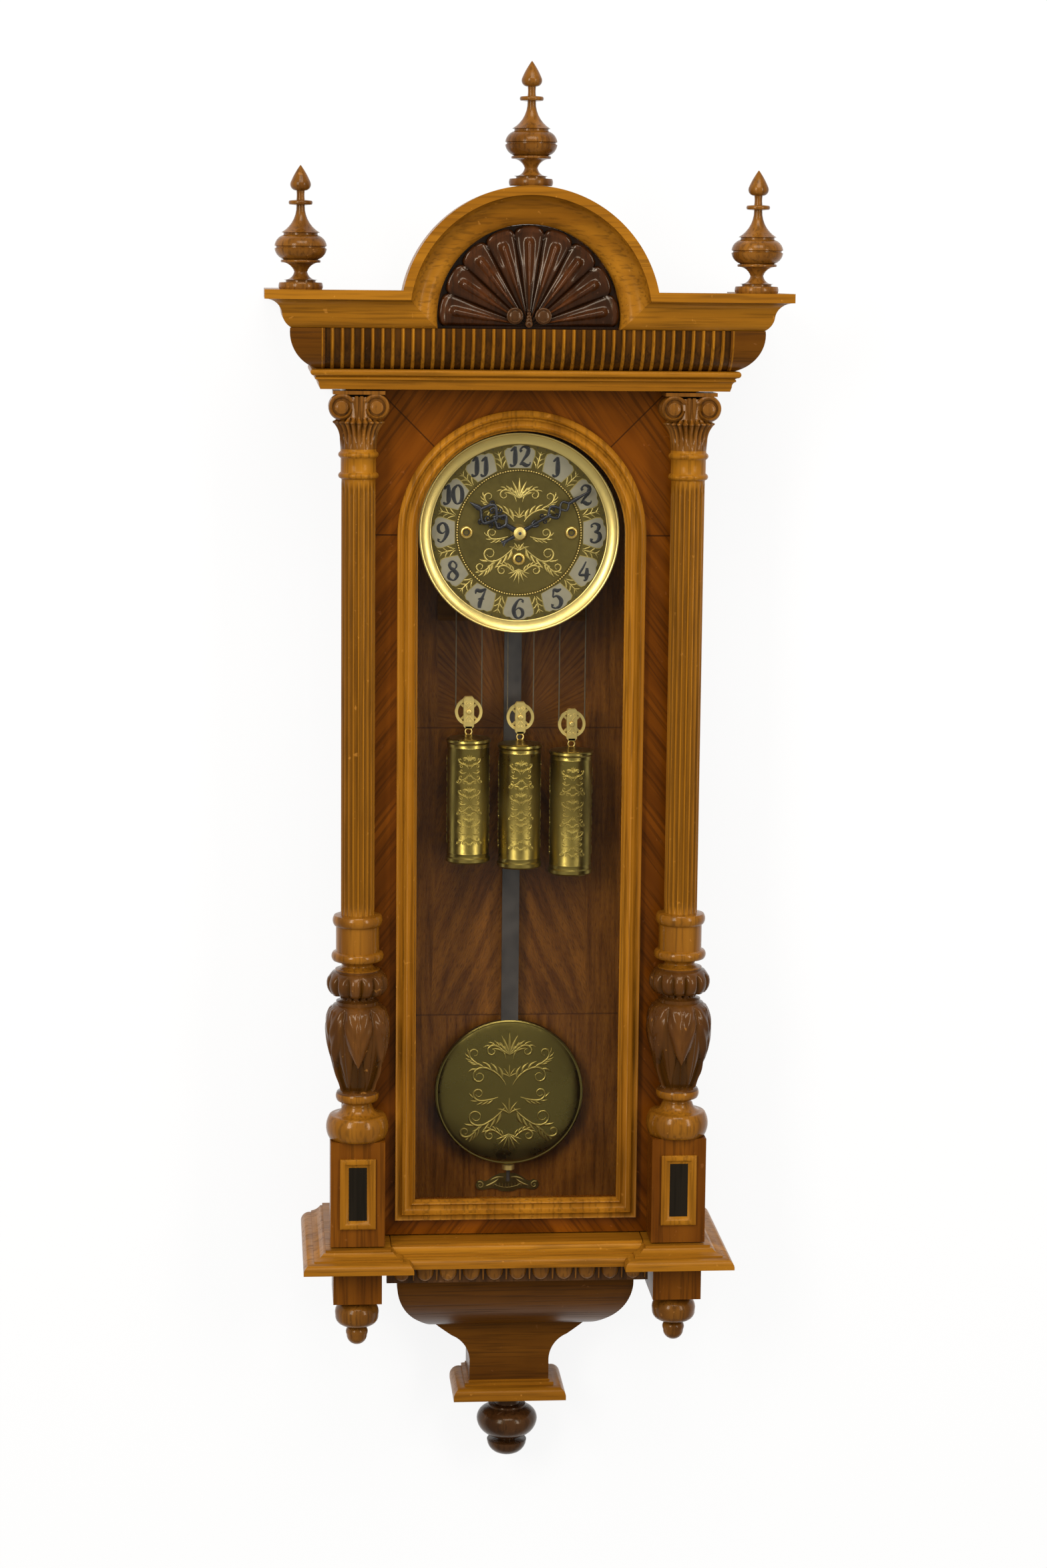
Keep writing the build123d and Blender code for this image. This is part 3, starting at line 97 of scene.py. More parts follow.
# %% Light and wall
scene = bpy.context.scene
scene.view_settings.view_transform = "Standard"


def lamp(name, place, target, size, power, colour=(1, 1, 1)):
    """A rectangular soft lamp at a place, pointed at a target, both in metres."""
    data = bpy.data.lights.new(name, "AREA")
    data.shape = "RECTANGLE"
    data.size, data.size_y = size
    data.energy = power
    data.color = colour
    holder = bpy.data.objects.new(name, data)
    holder.location = place
    holder.rotation_euler = (Vector(target) - Vector(place)).to_track_quat("-Z", "Y").to_euler()
    bpy.context.collection.objects.link(holder)


lamp("lamp_left", (-1.7, -2.6, 0.7), (0, 0, -0.3), (0.7, 2.0), 60, (1.0, 0.96, 0.90))
lamp("lamp_right", (1.9, -2.4, 0.3), (0, 0, -0.4), (0.5, 2.0), 36, (1.0, 0.96, 0.90))
lamp("lamp_top", (0.1, -2.2, 2.3), (0, 0, -0.3), (2.0, 1.2), 54, (1.0, 0.96, 0.90))
world = bpy.data.worlds.new("room")
world.use_nodes = True
world.node_tree.nodes["Background"].inputs["Color"].default_value = (1.0, 0.985, 0.95, 1)
world.node_tree.nodes["Background"].inputs["Strength"].default_value = 0.40
scene.world = world

# %% [markdown]
# ## Finishes as expressions
# A finish is a small formula: grain is noise that is stretched along the board, polish is a number.
# One class wraps a value in the shader, so that the formulas below read like arithmetic.


# %% Finishes as expressions
class Value:
    """A number that changes over the surface."""

    def __init__(self, paint, socket):
        self.paint = paint
        self.socket = socket

    def _math(self, operation, other=0.0, swapped=False):
        pair = {0: other, 1: self} if swapped else {0: self, 1: other}
        return self.paint.make("ShaderNodeMath", {"operation": operation}, pair)

    def __add__(self, other):
        return self._math("ADD", other)

    def __radd__(self, other):
        return self._math("ADD", other)

    def __sub__(self, other):
        return self._math("SUBTRACT", other)

    def __rsub__(self, other):
        return self._math("SUBTRACT", other, True)

    def __mul__(self, other):
        return self._math("MULTIPLY", other)

    def __rmul__(self, other):
        return self._math("MULTIPLY", other)

    def __truediv__(self, other):
        return self._math("DIVIDE", other)

    def __pow__(self, other):
        return self._math("POWER", other)

    def over(self, limit):
        return self._math("GREATER_THAN", limit)

    def wave(self):
        return self._math("SINE")

    def size(self):
        return self._math("ABSOLUTE")

    def turn(self, other):
        """The angle of (self, other), zero along other."""
        return self._math("ARCTAN2", other)

    def most(self, other):
        return self._math("MAXIMUM", other)

    def remainder(self, other):
        return self._math("FLOORED_MODULO", other)

    def spread(self, low, high):
        """Map low..high to 0..1, and hold it there."""
        return self.paint.make("ShaderNodeMapRange", {"clamp": True}, {0: self, 1: low, 2: high})


class Paint:
    """One finish: a material that is built from expressions."""

    def __init__(self, name):
        self.material = bpy.data.materials.new(name)
        self.material.use_nodes = True
        self.tree = self.material.node_tree
        self.tree.nodes.clear()
        where = self.tree.nodes.new("ShaderNodeTexCoord")
        self.place = Value(self, where.outputs["Object"])
        split = self.tree.nodes.new("ShaderNodeSeparateXYZ")
        self.tree.links.new(self.place.socket, split.inputs[0])
        self.x, self.y, self.z = (Value(self, out) for out in split.outputs)
        # the carving depth of each point, which the wood finishes turn into painted shade
        self.hollow = self.make("ShaderNodeAttribute", {"attribute_name": "hollow"}, {}, out=2)

    def make(self, kind, settings, sockets, out=0):
        """Add a node, set it up, feed its sockets, and give back one of its outputs."""
        node = self.tree.nodes.new(kind)
        for key, setting in settings.items():
            setattr(node, key, setting)
        for key, feed in sockets.items():
            if isinstance(feed, Value):
                self.tree.links.new(feed.socket, node.inputs[key])
            else:
                node.inputs[key].default_value = feed
        return Value(self, node.outputs[out])

    def vector(self, x, y, z):
        return self.make("ShaderNodeCombineXYZ", {}, {0: x, 1: y, 2: z})

    def noise(self, vector, scale=1.0, detail=3.0, twist=0.0):
        return self.make(
            "ShaderNodeTexNoise", {},
            {"Vector": vector, "Scale": scale, "Detail": detail, "Distortion": twist})

    def mix(self, share, first, second):
        """Blend two colours; each is a Value or three numbers."""
        first, second = (c if isinstance(c, Value) else (*c, 1) for c in (first, second))
        return self.make(
            "ShaderNodeMix", {"data_type": "RGBA"}, {0: share, 6: first, 7: second}, out=2)

    def bump(self, height, strength, distance):
        return self.make(
            "ShaderNodeBump", {}, {"Strength": strength, "Distance": distance, "Height": height})

    def finish(self, colour, **sockets):
        """Close the material with the main shader."""
        shader = self.tree.nodes.new("ShaderNodeBsdfPrincipled")
        sockets = {"Base Color": colour, **sockets}
        for key, feed in sockets.items():
            key = key.replace("_", " ")
            if isinstance(feed, Value):
                self.tree.links.new(feed.socket, shader.inputs[key])
            elif isinstance(feed, tuple):
                shader.inputs[key].default_value = (*feed, 1)
            else:
                shader.inputs[key].default_value = feed
        end = self.tree.nodes.new("ShaderNodeOutputMaterial")
        self.tree.links.new(shader.outputs[0], end.inputs[0])
        return self.material


# %% [markdown]
# ## Polished walnut
# Walnut shows three things at once: broad light and dark bands that wander along the board, fine
# dark pores, and a soft ripple across the grain where the light catches it. French polish lies over
# it, thin enough that the pores still show in the gloss. The grain runs along one axis.


# %% Polished walnut
def walnut(name, dark, light, along="z", figure=0.5, gloss=0.3, wear=0.5, polish=0.05, zones=None):
    """Wood with its grain along one axis, or slanting and mirrored; colours are linear."""
    paint = Paint(name)
    x, y, z = paint.x, paint.y, paint.z
    if along == "slant":
        x, y, z = x.size() * 0.8 + paint.z * 0.6, paint.y, paint.z * 0.8 - x.size() * 0.6
    squeeze = (0.5, 14.0, 14.0) if along == "x" else (14.0, 14.0, 0.5)
    stretched = paint.vector(*(c * s for c, s in zip((x, y, z), squeeze)))
    bands = paint.noise(stretched, 1.6, 4.0, 1.4).spread(0.30, 0.70)
    rings = ((paint.noise(stretched, 0.9, 2.0, 0.6) * 34.0).wave() * 0.5 + 0.5) ** 1.5
    pores = paint.noise(stretched, 26.0, 2.0).spread(0.34, 0.50)
    ripple = paint.noise(paint.place, 22.0, 2.0, 1.0).spread(0.3, 0.7)
    tone = (bands * 0.62 + rings * 0.22 + ripple * 0.16 * figure).spread(0.12, 0.85)
    colour = paint.mix(tone, dark, light)
    for share, zone_dark, zone_light in zones(paint) if zones else []:
        colour = paint.mix(share, colour, paint.mix(tone, zone_dark, zone_light))
    colour = paint.mix((1 - pores) * 0.5, colour, tuple(c * 0.35 for c in dark))
    grime = paint.noise(paint.place, 9.0, 5.0, 0.5).spread(0.54, 0.72) * wear * 0.5
    # painted shade: the colour darkens where the carving sinks in, and random grime darkens it too
    hollow = (0.4 - paint.hollow).spread(0.0, 3.0) ** 0.7
    colour = paint.mix(grime.most(hollow * 0.92), colour, tuple(c * 0.30 for c in dark))
    scuffs = paint.noise(paint.place, 150.0, 3.0, 0.4).spread(0.69, 0.74) * wear * 0.6
    colour = paint.mix(scuffs, colour, tuple(min(1.0, c * 1.5 + 0.03) for c in light))
    rough = grime * 0.25 + (1 - pores) * 0.12 + scuffs * 0.25 + gloss
    relief = pores * 0.6 + bands * 0.4 - scuffs * 0.5
    return paint.finish(
        colour, Roughness=rough, Coat_Weight=polish * 0.6, Coat_Roughness=0.12,
        Specular_IOR_Level=0.16, Specular_Tint=(1.0, 0.74, 0.42), Normal=paint.bump(relief, 0.22, 0.0004))


def carved_zone(paint):
    """The knob and the vase of the balusters are darker and redder than their rings."""
    share = (paint.z + 0.752).over(0.0) * (1 - (paint.z + 0.627).over(0.0))
    return [(share, (0.050, 0.016, 0.0030), (0.150, 0.055, 0.0100))]


def joint_lines(paint):
    """Dark glue lines where the veneers of the door meet beside its arch."""
    up = paint.z + 0.200
    slope = 1 - ((paint.x.size() - up).size() * 1000.0 - 0.6).spread(0.0, 0.6)
    level_line = 1 - (up.size() * 1000.0 - 0.5).spread(0.0, 0.5)
    share = (slope * up.over(0.0)).most(level_line) * (1 - (paint.y + 0.1219).over(0.0))
    return [(share * 0.8, (0.012, 0.004, 0.001), (0.020, 0.007, 0.002))]


WALNUT_DARK = (0.250, 0.090, 0.0050)
WALNUT_LIGHT = (0.450, 0.182, 0.0120)
walnut_across = walnut("walnut_across", WALNUT_DARK, WALNUT_LIGHT, "x")
walnut_upright = walnut("walnut_upright", WALNUT_DARK, WALNUT_LIGHT, "z")
turned_walnut = walnut(
    "turned_walnut", (0.120, 0.040, 0.0040), (0.310, 0.122, 0.0160), "z", 0.3, 0.22, polish=0.3)
baluster_wood = walnut(
    "baluster_wood", (0.200, 0.070, 0.0045), (0.380, 0.150, 0.0120), "z", 0.3, 0.20, polish=0.35,
    zones=carved_zone)
# a darker copy of turned walnut: partly the wood's own darker tone, partly painted shade on the bottom
# drop, the egg rail and the shell bosses
turned_dark_shaded = walnut(
    "turned_dark_shaded", (0.040, 0.014, 0.0040), (0.120, 0.050, 0.0160), "z", 0.3, 0.22, polish=0.3)
carved_dark = walnut(
    "carved_dark", (0.030, 0.009, 0.0025), (0.090, 0.028, 0.0080), "z", 0.6, 0.16, 0.3, 0.5)
veneer = walnut("veneer", (0.120, 0.032, 0.0020), (0.240, 0.076, 0.0050), "z", 1.0, 0.24, 0.3)
door_veneer = walnut(
    "door_veneer", (0.095, 0.022, 0.0008), (0.240, 0.064, 0.0030), "slant", 1.0, 0.24, 0.3,
    zones=joint_lines)
veneer_across = walnut(
    "veneer_across", (0.085, 0.026, 0.0018), (0.165, 0.056, 0.0045), "x", 1.0, 0.28, 0.4, 0.03)
# painted shade: the floor of the frieze flutes is a dark wood colour that stands in for shade in the
# grooves
flute_shade_wood = walnut("flute_shade_wood", (0.030, 0.010, 0.0012), (0.095, 0.034, 0.0040), "z", 0.5, 0.35, 0.3)
inlay_dark = walnut(
    "inlay_dark", (0.005, 0.004, 0.0025), (0.014, 0.010, 0.0060), "z", 1.0, 0.12, 0.2, 0.3)
plain_back = walnut("plain_back", (0.080, 0.034, 0.010), (0.190, 0.095, 0.035), "z", 0.3, 0.6, 0.9)

# %% [markdown]
# ## Metals, glass and line
# The brass is polished but old, so its gloss is uneven and a brown film sits in places. The silvered
# parts are matt and a little warm. The hands and the pendulum rod are black.


# %% Metals, glass and line
def metal(name, clean, film, gloss, share=0.35, relief=0.05):
    paint = Paint(name)
    cloud = paint.noise(paint.place, 18.0, 5.0, 0.6).spread(0.42, 0.75) * share
    brush = paint.noise(paint.place, 240.0, 2.0).spread(0.3, 0.7)
    colour = paint.mix(cloud, clean, film)
    return paint.finish(
        colour, Metallic=1.0, Roughness=cloud * 0.5 + brush * 0.08 + gloss,
        Normal=paint.bump(brush, relief, 0.0002))


brass = metal("brass", (0.82, 0.62, 0.21), (0.34, 0.23, 0.07), 0.30)
aged_brass = metal("aged_brass", (0.46, 0.34, 0.13), (0.18, 0.12, 0.05), 0.34, 0.6)
bob_brass = metal("bob_brass", (0.190, 0.145, 0.038), (0.100, 0.073, 0.020), 0.20, 0.5, 0.01)
# painted highlight: the raised ornament on bob, weights and dial is a brighter copy of the same brass,
# standing in for the light it catches
bob_relief = metal("bob_relief", (0.340, 0.260, 0.070), (0.150, 0.105, 0.028), 0.28, 0.5, 0.01)
weight_brass = metal("weight_brass", (0.300, 0.225, 0.055), (0.130, 0.090, 0.022), 0.26, 0.5, 0.01)
weight_relief_highlit = metal("weight_relief_highlit", (0.480, 0.370, 0.095), (0.200, 0.140, 0.036), 0.28, 0.5, 0.01)
dial_brass = metal("dial_brass", (0.150, 0.114, 0.034), (0.088, 0.065, 0.018), 0.34, 0.5, 0.25)
dial_relief_highlit = metal("dial_relief_highlit", (0.460, 0.360, 0.115), (0.230, 0.165, 0.050), 0.32, 0.4)
silvered = metal("silvered", (0.360, 0.325, 0.235), (0.200, 0.170, 0.110), 0.42, 0.45)
bright_steel = metal("bright_steel", (0.55, 0.55, 0.56), (0.22, 0.18, 0.15), 0.28, 0.4)


def brass_with_steel_ends():
    """Barrels are brass; the winding squares in front of the plates are near black: partly dark steel,
    partly painted shade in the winding holes.
    """
    paint = Paint("winding_steel_shaded")
    cloud = paint.noise(paint.place, 18.0, 5.0, 0.6).spread(0.42, 0.75)
    # painted shade: the winding squares in front of the plates go near black, partly steel, partly the
    # shade in the holes
    ends = 1 - (paint.y + 0.0745).over(0.0)
    colour = paint.mix(cloud * 0.35, (0.66, 0.50, 0.19), (0.26, 0.18, 0.06))
    colour = paint.mix(ends, colour, (0.010, 0.009, 0.009))
    return paint.finish(colour, Metallic=1.0, Roughness=cloud * 0.2 + 0.3)


winding_steel_shaded = brass_with_steel_ends()


def plain(name, low, high, gloss, scale=30.0, coat=0.0):
    """A dull or painted finish whose tone drifts a little."""
    paint = Paint(name)
    drift = paint.noise(paint.place, scale, 4.0, 0.3).spread(0.3, 0.7)
    return paint.finish(
        paint.mix(drift, low, high), Roughness=drift * 0.12 + gloss, Coat_Weight=coat,
        Normal=paint.bump(drift, 0.08, 0.0003))


black_steel = plain("black_steel", (0.006, 0.006, 0.009), (0.016, 0.016, 0.022), 0.28, 60.0, 0.3)
ebonised = plain("ebonised", (0.018, 0.014, 0.012), (0.050, 0.040, 0.034), 0.32, 40.0, 0.3)
gut = plain("gut", (0.060, 0.042, 0.020), (0.110, 0.080, 0.040), 0.5, 400.0)
ink = plain("ink", (0.004, 0.004, 0.005), (0.012, 0.011, 0.011), 0.4, 300.0)

glass_paint = Paint("old_glass")
sheet_wave = glass_paint.noise(glass_paint.place, 5.0, 1.0)
clear = glass_paint.make("ShaderNodeBsdfTransparent", {}, {0: (0.985, 0.99, 0.985, 1)})
shine = glass_paint.make(
    "ShaderNodeBsdfPrincipled", {},
    {"Base Color": (0.9, 0.92, 0.92, 1), "Roughness": 0.04,
     "Metallic": 1.0, "Normal": glass_paint.bump(sheet_wave, 0.06, 0.002)})
facing = glass_paint.make("ShaderNodeFresnel", {}, {"IOR": 1.45}) * 0.10
both = glass_paint.make("ShaderNodeMixShader", {}, {0: facing, 1: clear, 2: shine})

surface = glass_paint.tree.nodes.new("ShaderNodeOutputMaterial")
glass_paint.tree.links.new(both.socket, surface.inputs[0])
old_glass = glass_paint.material

# %% [markdown]
# ## The wall
# The lamps light the wall and the clock shades it. Straight views, reflections and views through
# glass see most of it as an even white, so that its shadow stays soft.

# %% The wall
wall_paint = Paint("wall")
lit = wall_paint.make(
    "ShaderNodeBsdfPrincipled", {},
    {"Base Color": (0.90, 0.90, 0.90, 1), "Roughness": 0.9, "Specular IOR Level": 0.1})
glow = wall_paint.make("ShaderNodeEmission", {}, {0: (1, 1, 1, 1), 1: 1.0})
seen_by_camera = wall_paint.make("ShaderNodeLightPath", {}, {}, out=0)
seen_in_gloss = wall_paint.make("ShaderNodeLightPath", {}, {}, out=3)
seen_through = wall_paint.make("ShaderNodeLightPath", {}, {}, out=6)
seen = seen_by_camera.most(seen_in_gloss).most(seen_through)
pale = wall_paint.make("ShaderNodeMixShader", {}, {0: seen * 0.88, 1: lit, 2: glow})
gone = wall_paint.make("ShaderNodeBsdfTransparent", {}, {})
behind = wall_paint.make("ShaderNodeNewGeometry", {}, {}, out=6)
one_sided = wall_paint.make("ShaderNodeMixShader", {}, {0: behind, 1: pale, 2: gone})
wall_end = wall_paint.tree.nodes.new("ShaderNodeOutputMaterial")
wall_paint.tree.links.new(one_sided.socket, wall_end.inputs[0])
wall_mesh = bpy.data.meshes.new("wall")
wall_mesh.from_pydata(
    [(-4, 0.002, -2.6), (4, 0.002, -2.6), (4, 0.002, 3), (-4, 0.002, 3)], [], [(0, 1, 2, 3)])
wall_mesh.materials.append(wall_paint.material)
wall = bpy.data.objects.new("wall", wall_mesh)
bpy.context.collection.objects.link(wall)

# %% [markdown]
# ## The back board
# The veneer behind the pendulum is laid in four parts: a half sunburst of wedges that meet in a
# point, a quartered field under it, and straight stiles on both sides. Each part gets its own
# grain direction, worked out from the place on the board. The back of the board stays plain.


# %% The back board
def sunburst_back():
    paint = Paint("back_veneer")
    x, y, z = (c * 1000 for c in (paint.x, paint.y, paint.z))
    high = (z + 405.0).over(0.0)
    low = 1 - (z + 704.0).over(0.0)
    stile = (x.size() - 74.0 - (z + 405.0).size() * 0.02).over(0.0)
    angle = x.turn(z + 405.0)
    reach = (x * x + (z + 405.0) * (z + 405.0)) ** 0.5
    wedge = angle * (10 / pi)
    leaf = (wedge - 0.5).remainder(1.0)
    mirrored = (leaf - 0.5).size()
    fan = paint.vector(mirrored * 2.6, reach * 0.004, (wedge - leaf) * 0.0)
    field = paint.vector(x.size() * 0.030 + z * 0.012, z * 0.004, 2.0)
    straight = paint.vector(x * 0.060, z * 0.004, 5.0)
    grain = paint.mix(high, field, fan)
    grain = paint.mix(low, grain, straight)
    grain = paint.mix(stile, grain, straight)
    bands = paint.noise(grain, 3.4, 4.0, 0.6).spread(0.32, 0.68)
    pores = paint.noise(grain, 40.0, 2.0).spread(0.36, 0.52)
    ripple = paint.noise(paint.place, 16.0, 2.0, 1.0).spread(0.3, 0.7)
    tone = bands * 0.7 + ripple * 0.3
    colour = paint.mix(tone, (0.070, 0.020, 0.0018), (0.230, 0.080, 0.0080))
    colour = paint.mix((1 - pores) * 0.5, colour, (0.012, 0.004, 0.0006))
    edge = (0.035 - (0.5 - mirrored)).spread(0.0, 0.035) * high * (1 - stile)
    joint = (1.1 - (z + 405.0).size()).spread(0.0, 0.8).most((1.1 - (z + 704.0).size()).spread(0.0, 0.8))
    colour = paint.mix(edge.most(joint) * 0.55, colour, (0.012, 0.004, 0.0006))
    front = 1 - (y + 11.9).over(0.0)
    colour = paint.mix(front, (0.115, 0.060, 0.022), colour)
    return paint.finish(
        colour, Roughness=(1 - front) * 0.3 + bands * 0.08 + 0.28, Specular_IOR_Level=0.25,
        Normal=paint.bump(pores + bands * 0.4, 0.15, 0.0003))


back_veneer = sunburst_back()

# %% [markdown]
# ## Finish of the model's own nodes
# Every node of the measured model gets a finish, also where a finer piece stands in for it below.

# %% Finish of the model's own nodes
NODE_FINISH = {
    "backboard": back_veneer, "hanger_plate": bright_steel, "case_sides": veneer,
    "side_glass": old_glass, "top_boards": plain_back, "architrave": walnut_across,
    "frieze": veneer_across, "cornice": walnut_across, "shell_carving": carved_dark,
    "finials": turned_walnut, "base_moulding": walnut_across, "bottom_board": walnut_across,
    "egg_rail": turned_walnut, "apron": veneer_across, "apron_foot": walnut_across,
    "bottom_drop": turned_walnut, "pendant_blocks": veneer, "pendant_drops": turned_walnut,
    "door_frame": door_veneer, "door_moulding": walnut_upright, "door_glass": old_glass,
    "capitals": walnut_upright, "column_shafts": walnut_upright, "balusters": walnut_upright,
    "plinths": veneer, "case_hinges": aged_brass, "door_hinges": aged_brass,
    "barrel_left": winding_steel_shaded, "barrel_centre": winding_steel_shaded, "barrel_right": winding_steel_shaded,
    "movement_bracket": veneer_across, "movement_plates": brass, "dial_pan": brass,
    "chapter_ring": silvered, "dial_centre": silvered, "minute_hand": black_steel,
    "hour_hand": black_steel, "crutch": bright_steel, "suspension_cock": brass,
    "suspension_spring": bright_steel, "pendulum_rod": ebonised, "bob": brass, "rating_nut": brass,
    "beat_plate": silvered, "gong": bright_steel, "hammer": aged_brass}
for node_name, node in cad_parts.items():
    finish = NODE_FINISH.get(node_name, gut if node_name.startswith("line_") else brass)
    node.data.materials.clear()
    node.data.materials.append(finish)

# %% [markdown]
# ## Meshes from sections
# Mouldings, turnings and ribbons are all one idea: a closed section is placed again and again, and
# neighbouring sections are joined. A small class collects such lofts in millimetres and closes them
# into one clean mesh. A fourth number on a point says how deep the carving is there, and the wood
# finishes read it to paint shade into the hollows as darker colour.


# %% Meshes from sections
def bend(start, end, sagitta, steps):
    """Points after start, up to end, on a round arc that bows to the left by the sagitta."""
    start, end = Vector(start), Vector(end)
    along = end - start
    half = along.length / 2
    along.normalize()
    left = Vector((-along.y, along.x))
    middle = (start + end) / 2
    radius = (half * half + sagitta * sagitta) / (2 * sagitta)
    reach = atan2(half, abs(radius) - abs(sagitta))
    points = []
    for i in range(1, steps + 1):
        turn = reach * (2 * i / steps - 1)
        points.append(tuple(
            middle + left * (sagitta - radius + radius * cos(turn)) + along * abs(radius) * sin(turn)))
    return points


def section(start, *moves, steps=8):
    """A run of points; a move is (u, v), or (u, v, sagitta) for an arc."""
    points = [start]
    for u, v, *sagitta in moves:
        if sagitta and abs(sagitta[0]) > 0.01:
            points += bend(points[-1], (u, v), sagitta[0], steps)
        else:
            points.append((u, v))
    return points


class Form:
    """A mesh in the making."""

    def __init__(self):
        self.points = []
        self.hollows = []
        self.faces = []

    def loft(self, rings, closed=False, caps=True):
        """Join equal rings of points, each a closed section."""
        base = len(self.points)
        size = len(rings[0])
        for ring in rings:
            self.points += [tuple(p[:3]) for p in ring]
            self.hollows += [p[3] if len(p) > 3 else 0.0 for p in ring]
        for i in range(len(rings) if closed else len(rings) - 1):
            a = base + i * size
            b = base + (i + 1) % len(rings) * size
            for j in range(size):
                k = (j + 1) % size
                self.faces.append((a + j, a + k, b + k, b + j))
        if caps and not closed:
            last = base + (len(rings) - 1) * size
            self.faces.append(tuple(range(base + size - 1, base - 1, -1)))
            self.faces.append(tuple(range(last, last + size)))
        return self

    def turn(self, x, y, profile, steps=72, ripple=None):
        """Turn a profile of (radius, z) round an upright axis; ripple adds carving to the radius."""
        rings = []
        for radius, z in profile:
            ring = []
            for i in range(steps):
                angle = 2 * pi * i / steps
                carving = ripple(angle, radius, z) if ripple else 0.0
                r = max(0.02, radius + carving)
                ring.append((x + r * cos(angle), y + r * sin(angle), z, carving))
            rings.append(ring)
        return self.loft(rings)

    def turn_facing(self, x, z, profile, steps=96):
        """Turn a profile of (radius, y) round an axis that points out of the wall."""
        rings = [
            [(x + max(0.02, r) * cos(2 * pi * i / steps), y, z + max(0.02, r) * sin(2 * pi * i / steps))
             for i in range(steps)] for r, y in profile]
        return self.loft(rings)

    def ring(self, x, z, profile, steps):
        """Sweep a closed section of (radius, depth) round an axis that points out of the wall."""
        return self.loft([
            [(x + r * cos(2 * pi * i / steps), -d, z + r * sin(2 * pi * i / steps)) for r, d in profile]
            for i in range(steps)], closed=True)

    def block(self, x0, x1, y0, y1, z0, z1):
        return self.loft([
            [(x0, y0, z), (x1, y0, z), (x1, y1, z), (x0, y1, z)] for z in (z0, z1)])

    def plate(self, outline, y0, y1):
        """A flat outline of (x, z) between two depths."""
        return self.loft([[(x, y, z) for x, z in outline] for y in (y0, y1)])

    def strokes(self, strokes, place, height):
        """Raised ribbons with a soft ridge; a stroke is a run of (u, v, width) on a surface."""
        for run in strokes:
            rings = []
            for i, (u, v, width) in enumerate(run):
                before = run[max(0, i - 1)]
                after = run[min(len(run) - 1, i + 1)]
                heading = atan2(after[1] - before[1], after[0] - before[0])
                du, dv = -sin(heading), cos(heading)
                lift = height * min(1.0, 0.35 + width / 3.0)
                rings.append([
                    place(u + du * width * s, v + dv * width * s, h * lift)
                    for s, h in ((0.5, -0.3), (0.36, 0.7), (0.0, 1.0), (-0.36, 0.7), (-0.5, -0.3))])
            self.loft(rings)
        return self

    def done(self, name, finish, body, *stands_for, sharp=38):
        """Make the mesh, in place, and let it ride on its body."""
        mesh = bpy.data.meshes.new(name)
        mesh.from_pydata([Vector(p) * MM for p in self.points], [], self.faces)
        shape = bmesh.new()
        shape.from_mesh(mesh)
        # the carving depth, kept on the mesh for the painted shade in the hollows
        layer = shape.verts.layers.float.new("hollow")
        for vert, hollow in zip(shape.verts, self.hollows):
            vert[layer] = hollow
        bmesh.ops.remove_doubles(shape, verts=shape.verts, dist=2e-6)
        bmesh.ops.recalc_face_normals(shape, faces=shape.faces)
        shape.to_mesh(mesh)
        shape.free()
        mesh.shade_smooth()
        mesh.set_sharp_from_angle(angle=radians(sharp))
        mesh.materials.append(finish)
        piece = bpy.data.objects.new(name, mesh)
        bpy.context.collection.objects.link(piece)
        if stands_for:
            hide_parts(*stands_for)
        if body:
            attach(piece, body)
        print(name, len(mesh.polygons), "faces")
        return piece


# %% [markdown]
# ## Mouldings with mitred corners
# The architrave, the base and the foot are one section that runs along the front and turns back to
# the wall at both ends. Sweeping the section round the corners gives true mitres, as a joiner cuts.


# %% Mouldings with mitred corners
ARCHITRAVE_Z = DIAL_Z + 142.0
FRIEZE_Z = ARCHITRAVE_Z + 19.5
CORNICE_Z = FRIEZE_Z + 39.0
BASE_TOP = ARCHITRAVE_Z - 848.0
BASE_Z = BASE_TOP - 20.0


def moulded(form, profile, half, front, z, wall=12.0, left=None, right=None):
    """A run along the front with a return to the wall at each side."""
    left = -half if left is None else left
    right = half if right is None else right
    top = profile[-1][1]
    run = [(p, z + h) for p, h in profile] + [(-wall, z + top), (-wall, z)]
    form.loft([
        [(left - p, 0.0, h) for p, h in run], [(left - p, -front - p, h) for p, h in run],
        [(right + p, -front - p, h) for p, h in run], [(right + p, 0.0, h) for p, h in run]])
    return form


architrave_section = section(
    (0, 0), (1.5, 4.5), (5, 9.5, 1.2), (5, 11), (4, 12), (6, 13), (6.4, 19.5, -3.2))
moulded(Form(), architrave_section, 197, 159, ARCHITRAVE_Z, 20).done(
    "architrave_moulding", walnut_across, "case", "architrave")

base_section = section(
    (22, 0), (22, 3), (12.5, 10.5, -2.4), (11.5, 10.5), (11.5, 12), (2, 17.5, 1.2), (0, 17.5), (0, 20))
base = Form()
centre_run = [(150 + p, BASE_Z + h) for p, h in base_section]
base.loft([
    [(x, -d, h) for d, h in centre_run + [(0, BASE_TOP), (0, BASE_Z)]] for x in (-126, 126)])
for left, right_edge in ((127, 192), (-192, -127)):
    moulded(base, base_section, 0, 168, BASE_Z, 12, left, right_edge)
    base.block(left + 2, right_edge - 2, -166, 0, BASE_Z + 0.2, BASE_TOP - 0.2)
base.done("base_moulding_run", walnut_across, "case", "base_moulding")

foot_section = section(
    (16, 0), (16, 4.5), (5, 13, -3), (4, 13), (4, 16), (0, 16.5), (0, 18))
foot = moulded(Form(), foot_section, 42, 61, -1098, 20)
foot.block(-38, 38, -58, 0, -1102.5, -1098)
foot.block(-36, 36, -50, 0, -1098, -1081)
foot.done("apron_foot_moulding", walnut_across, "case", "apron_foot")

# %% [markdown]
# ## The cornice and its arch
# The cornice section leaves the straight run and goes over the shell as a half round. Both have the
# same section, so they meet on a curve: at height h the ring has radius R + h, and the straight run
# ends where that ring is at height h.

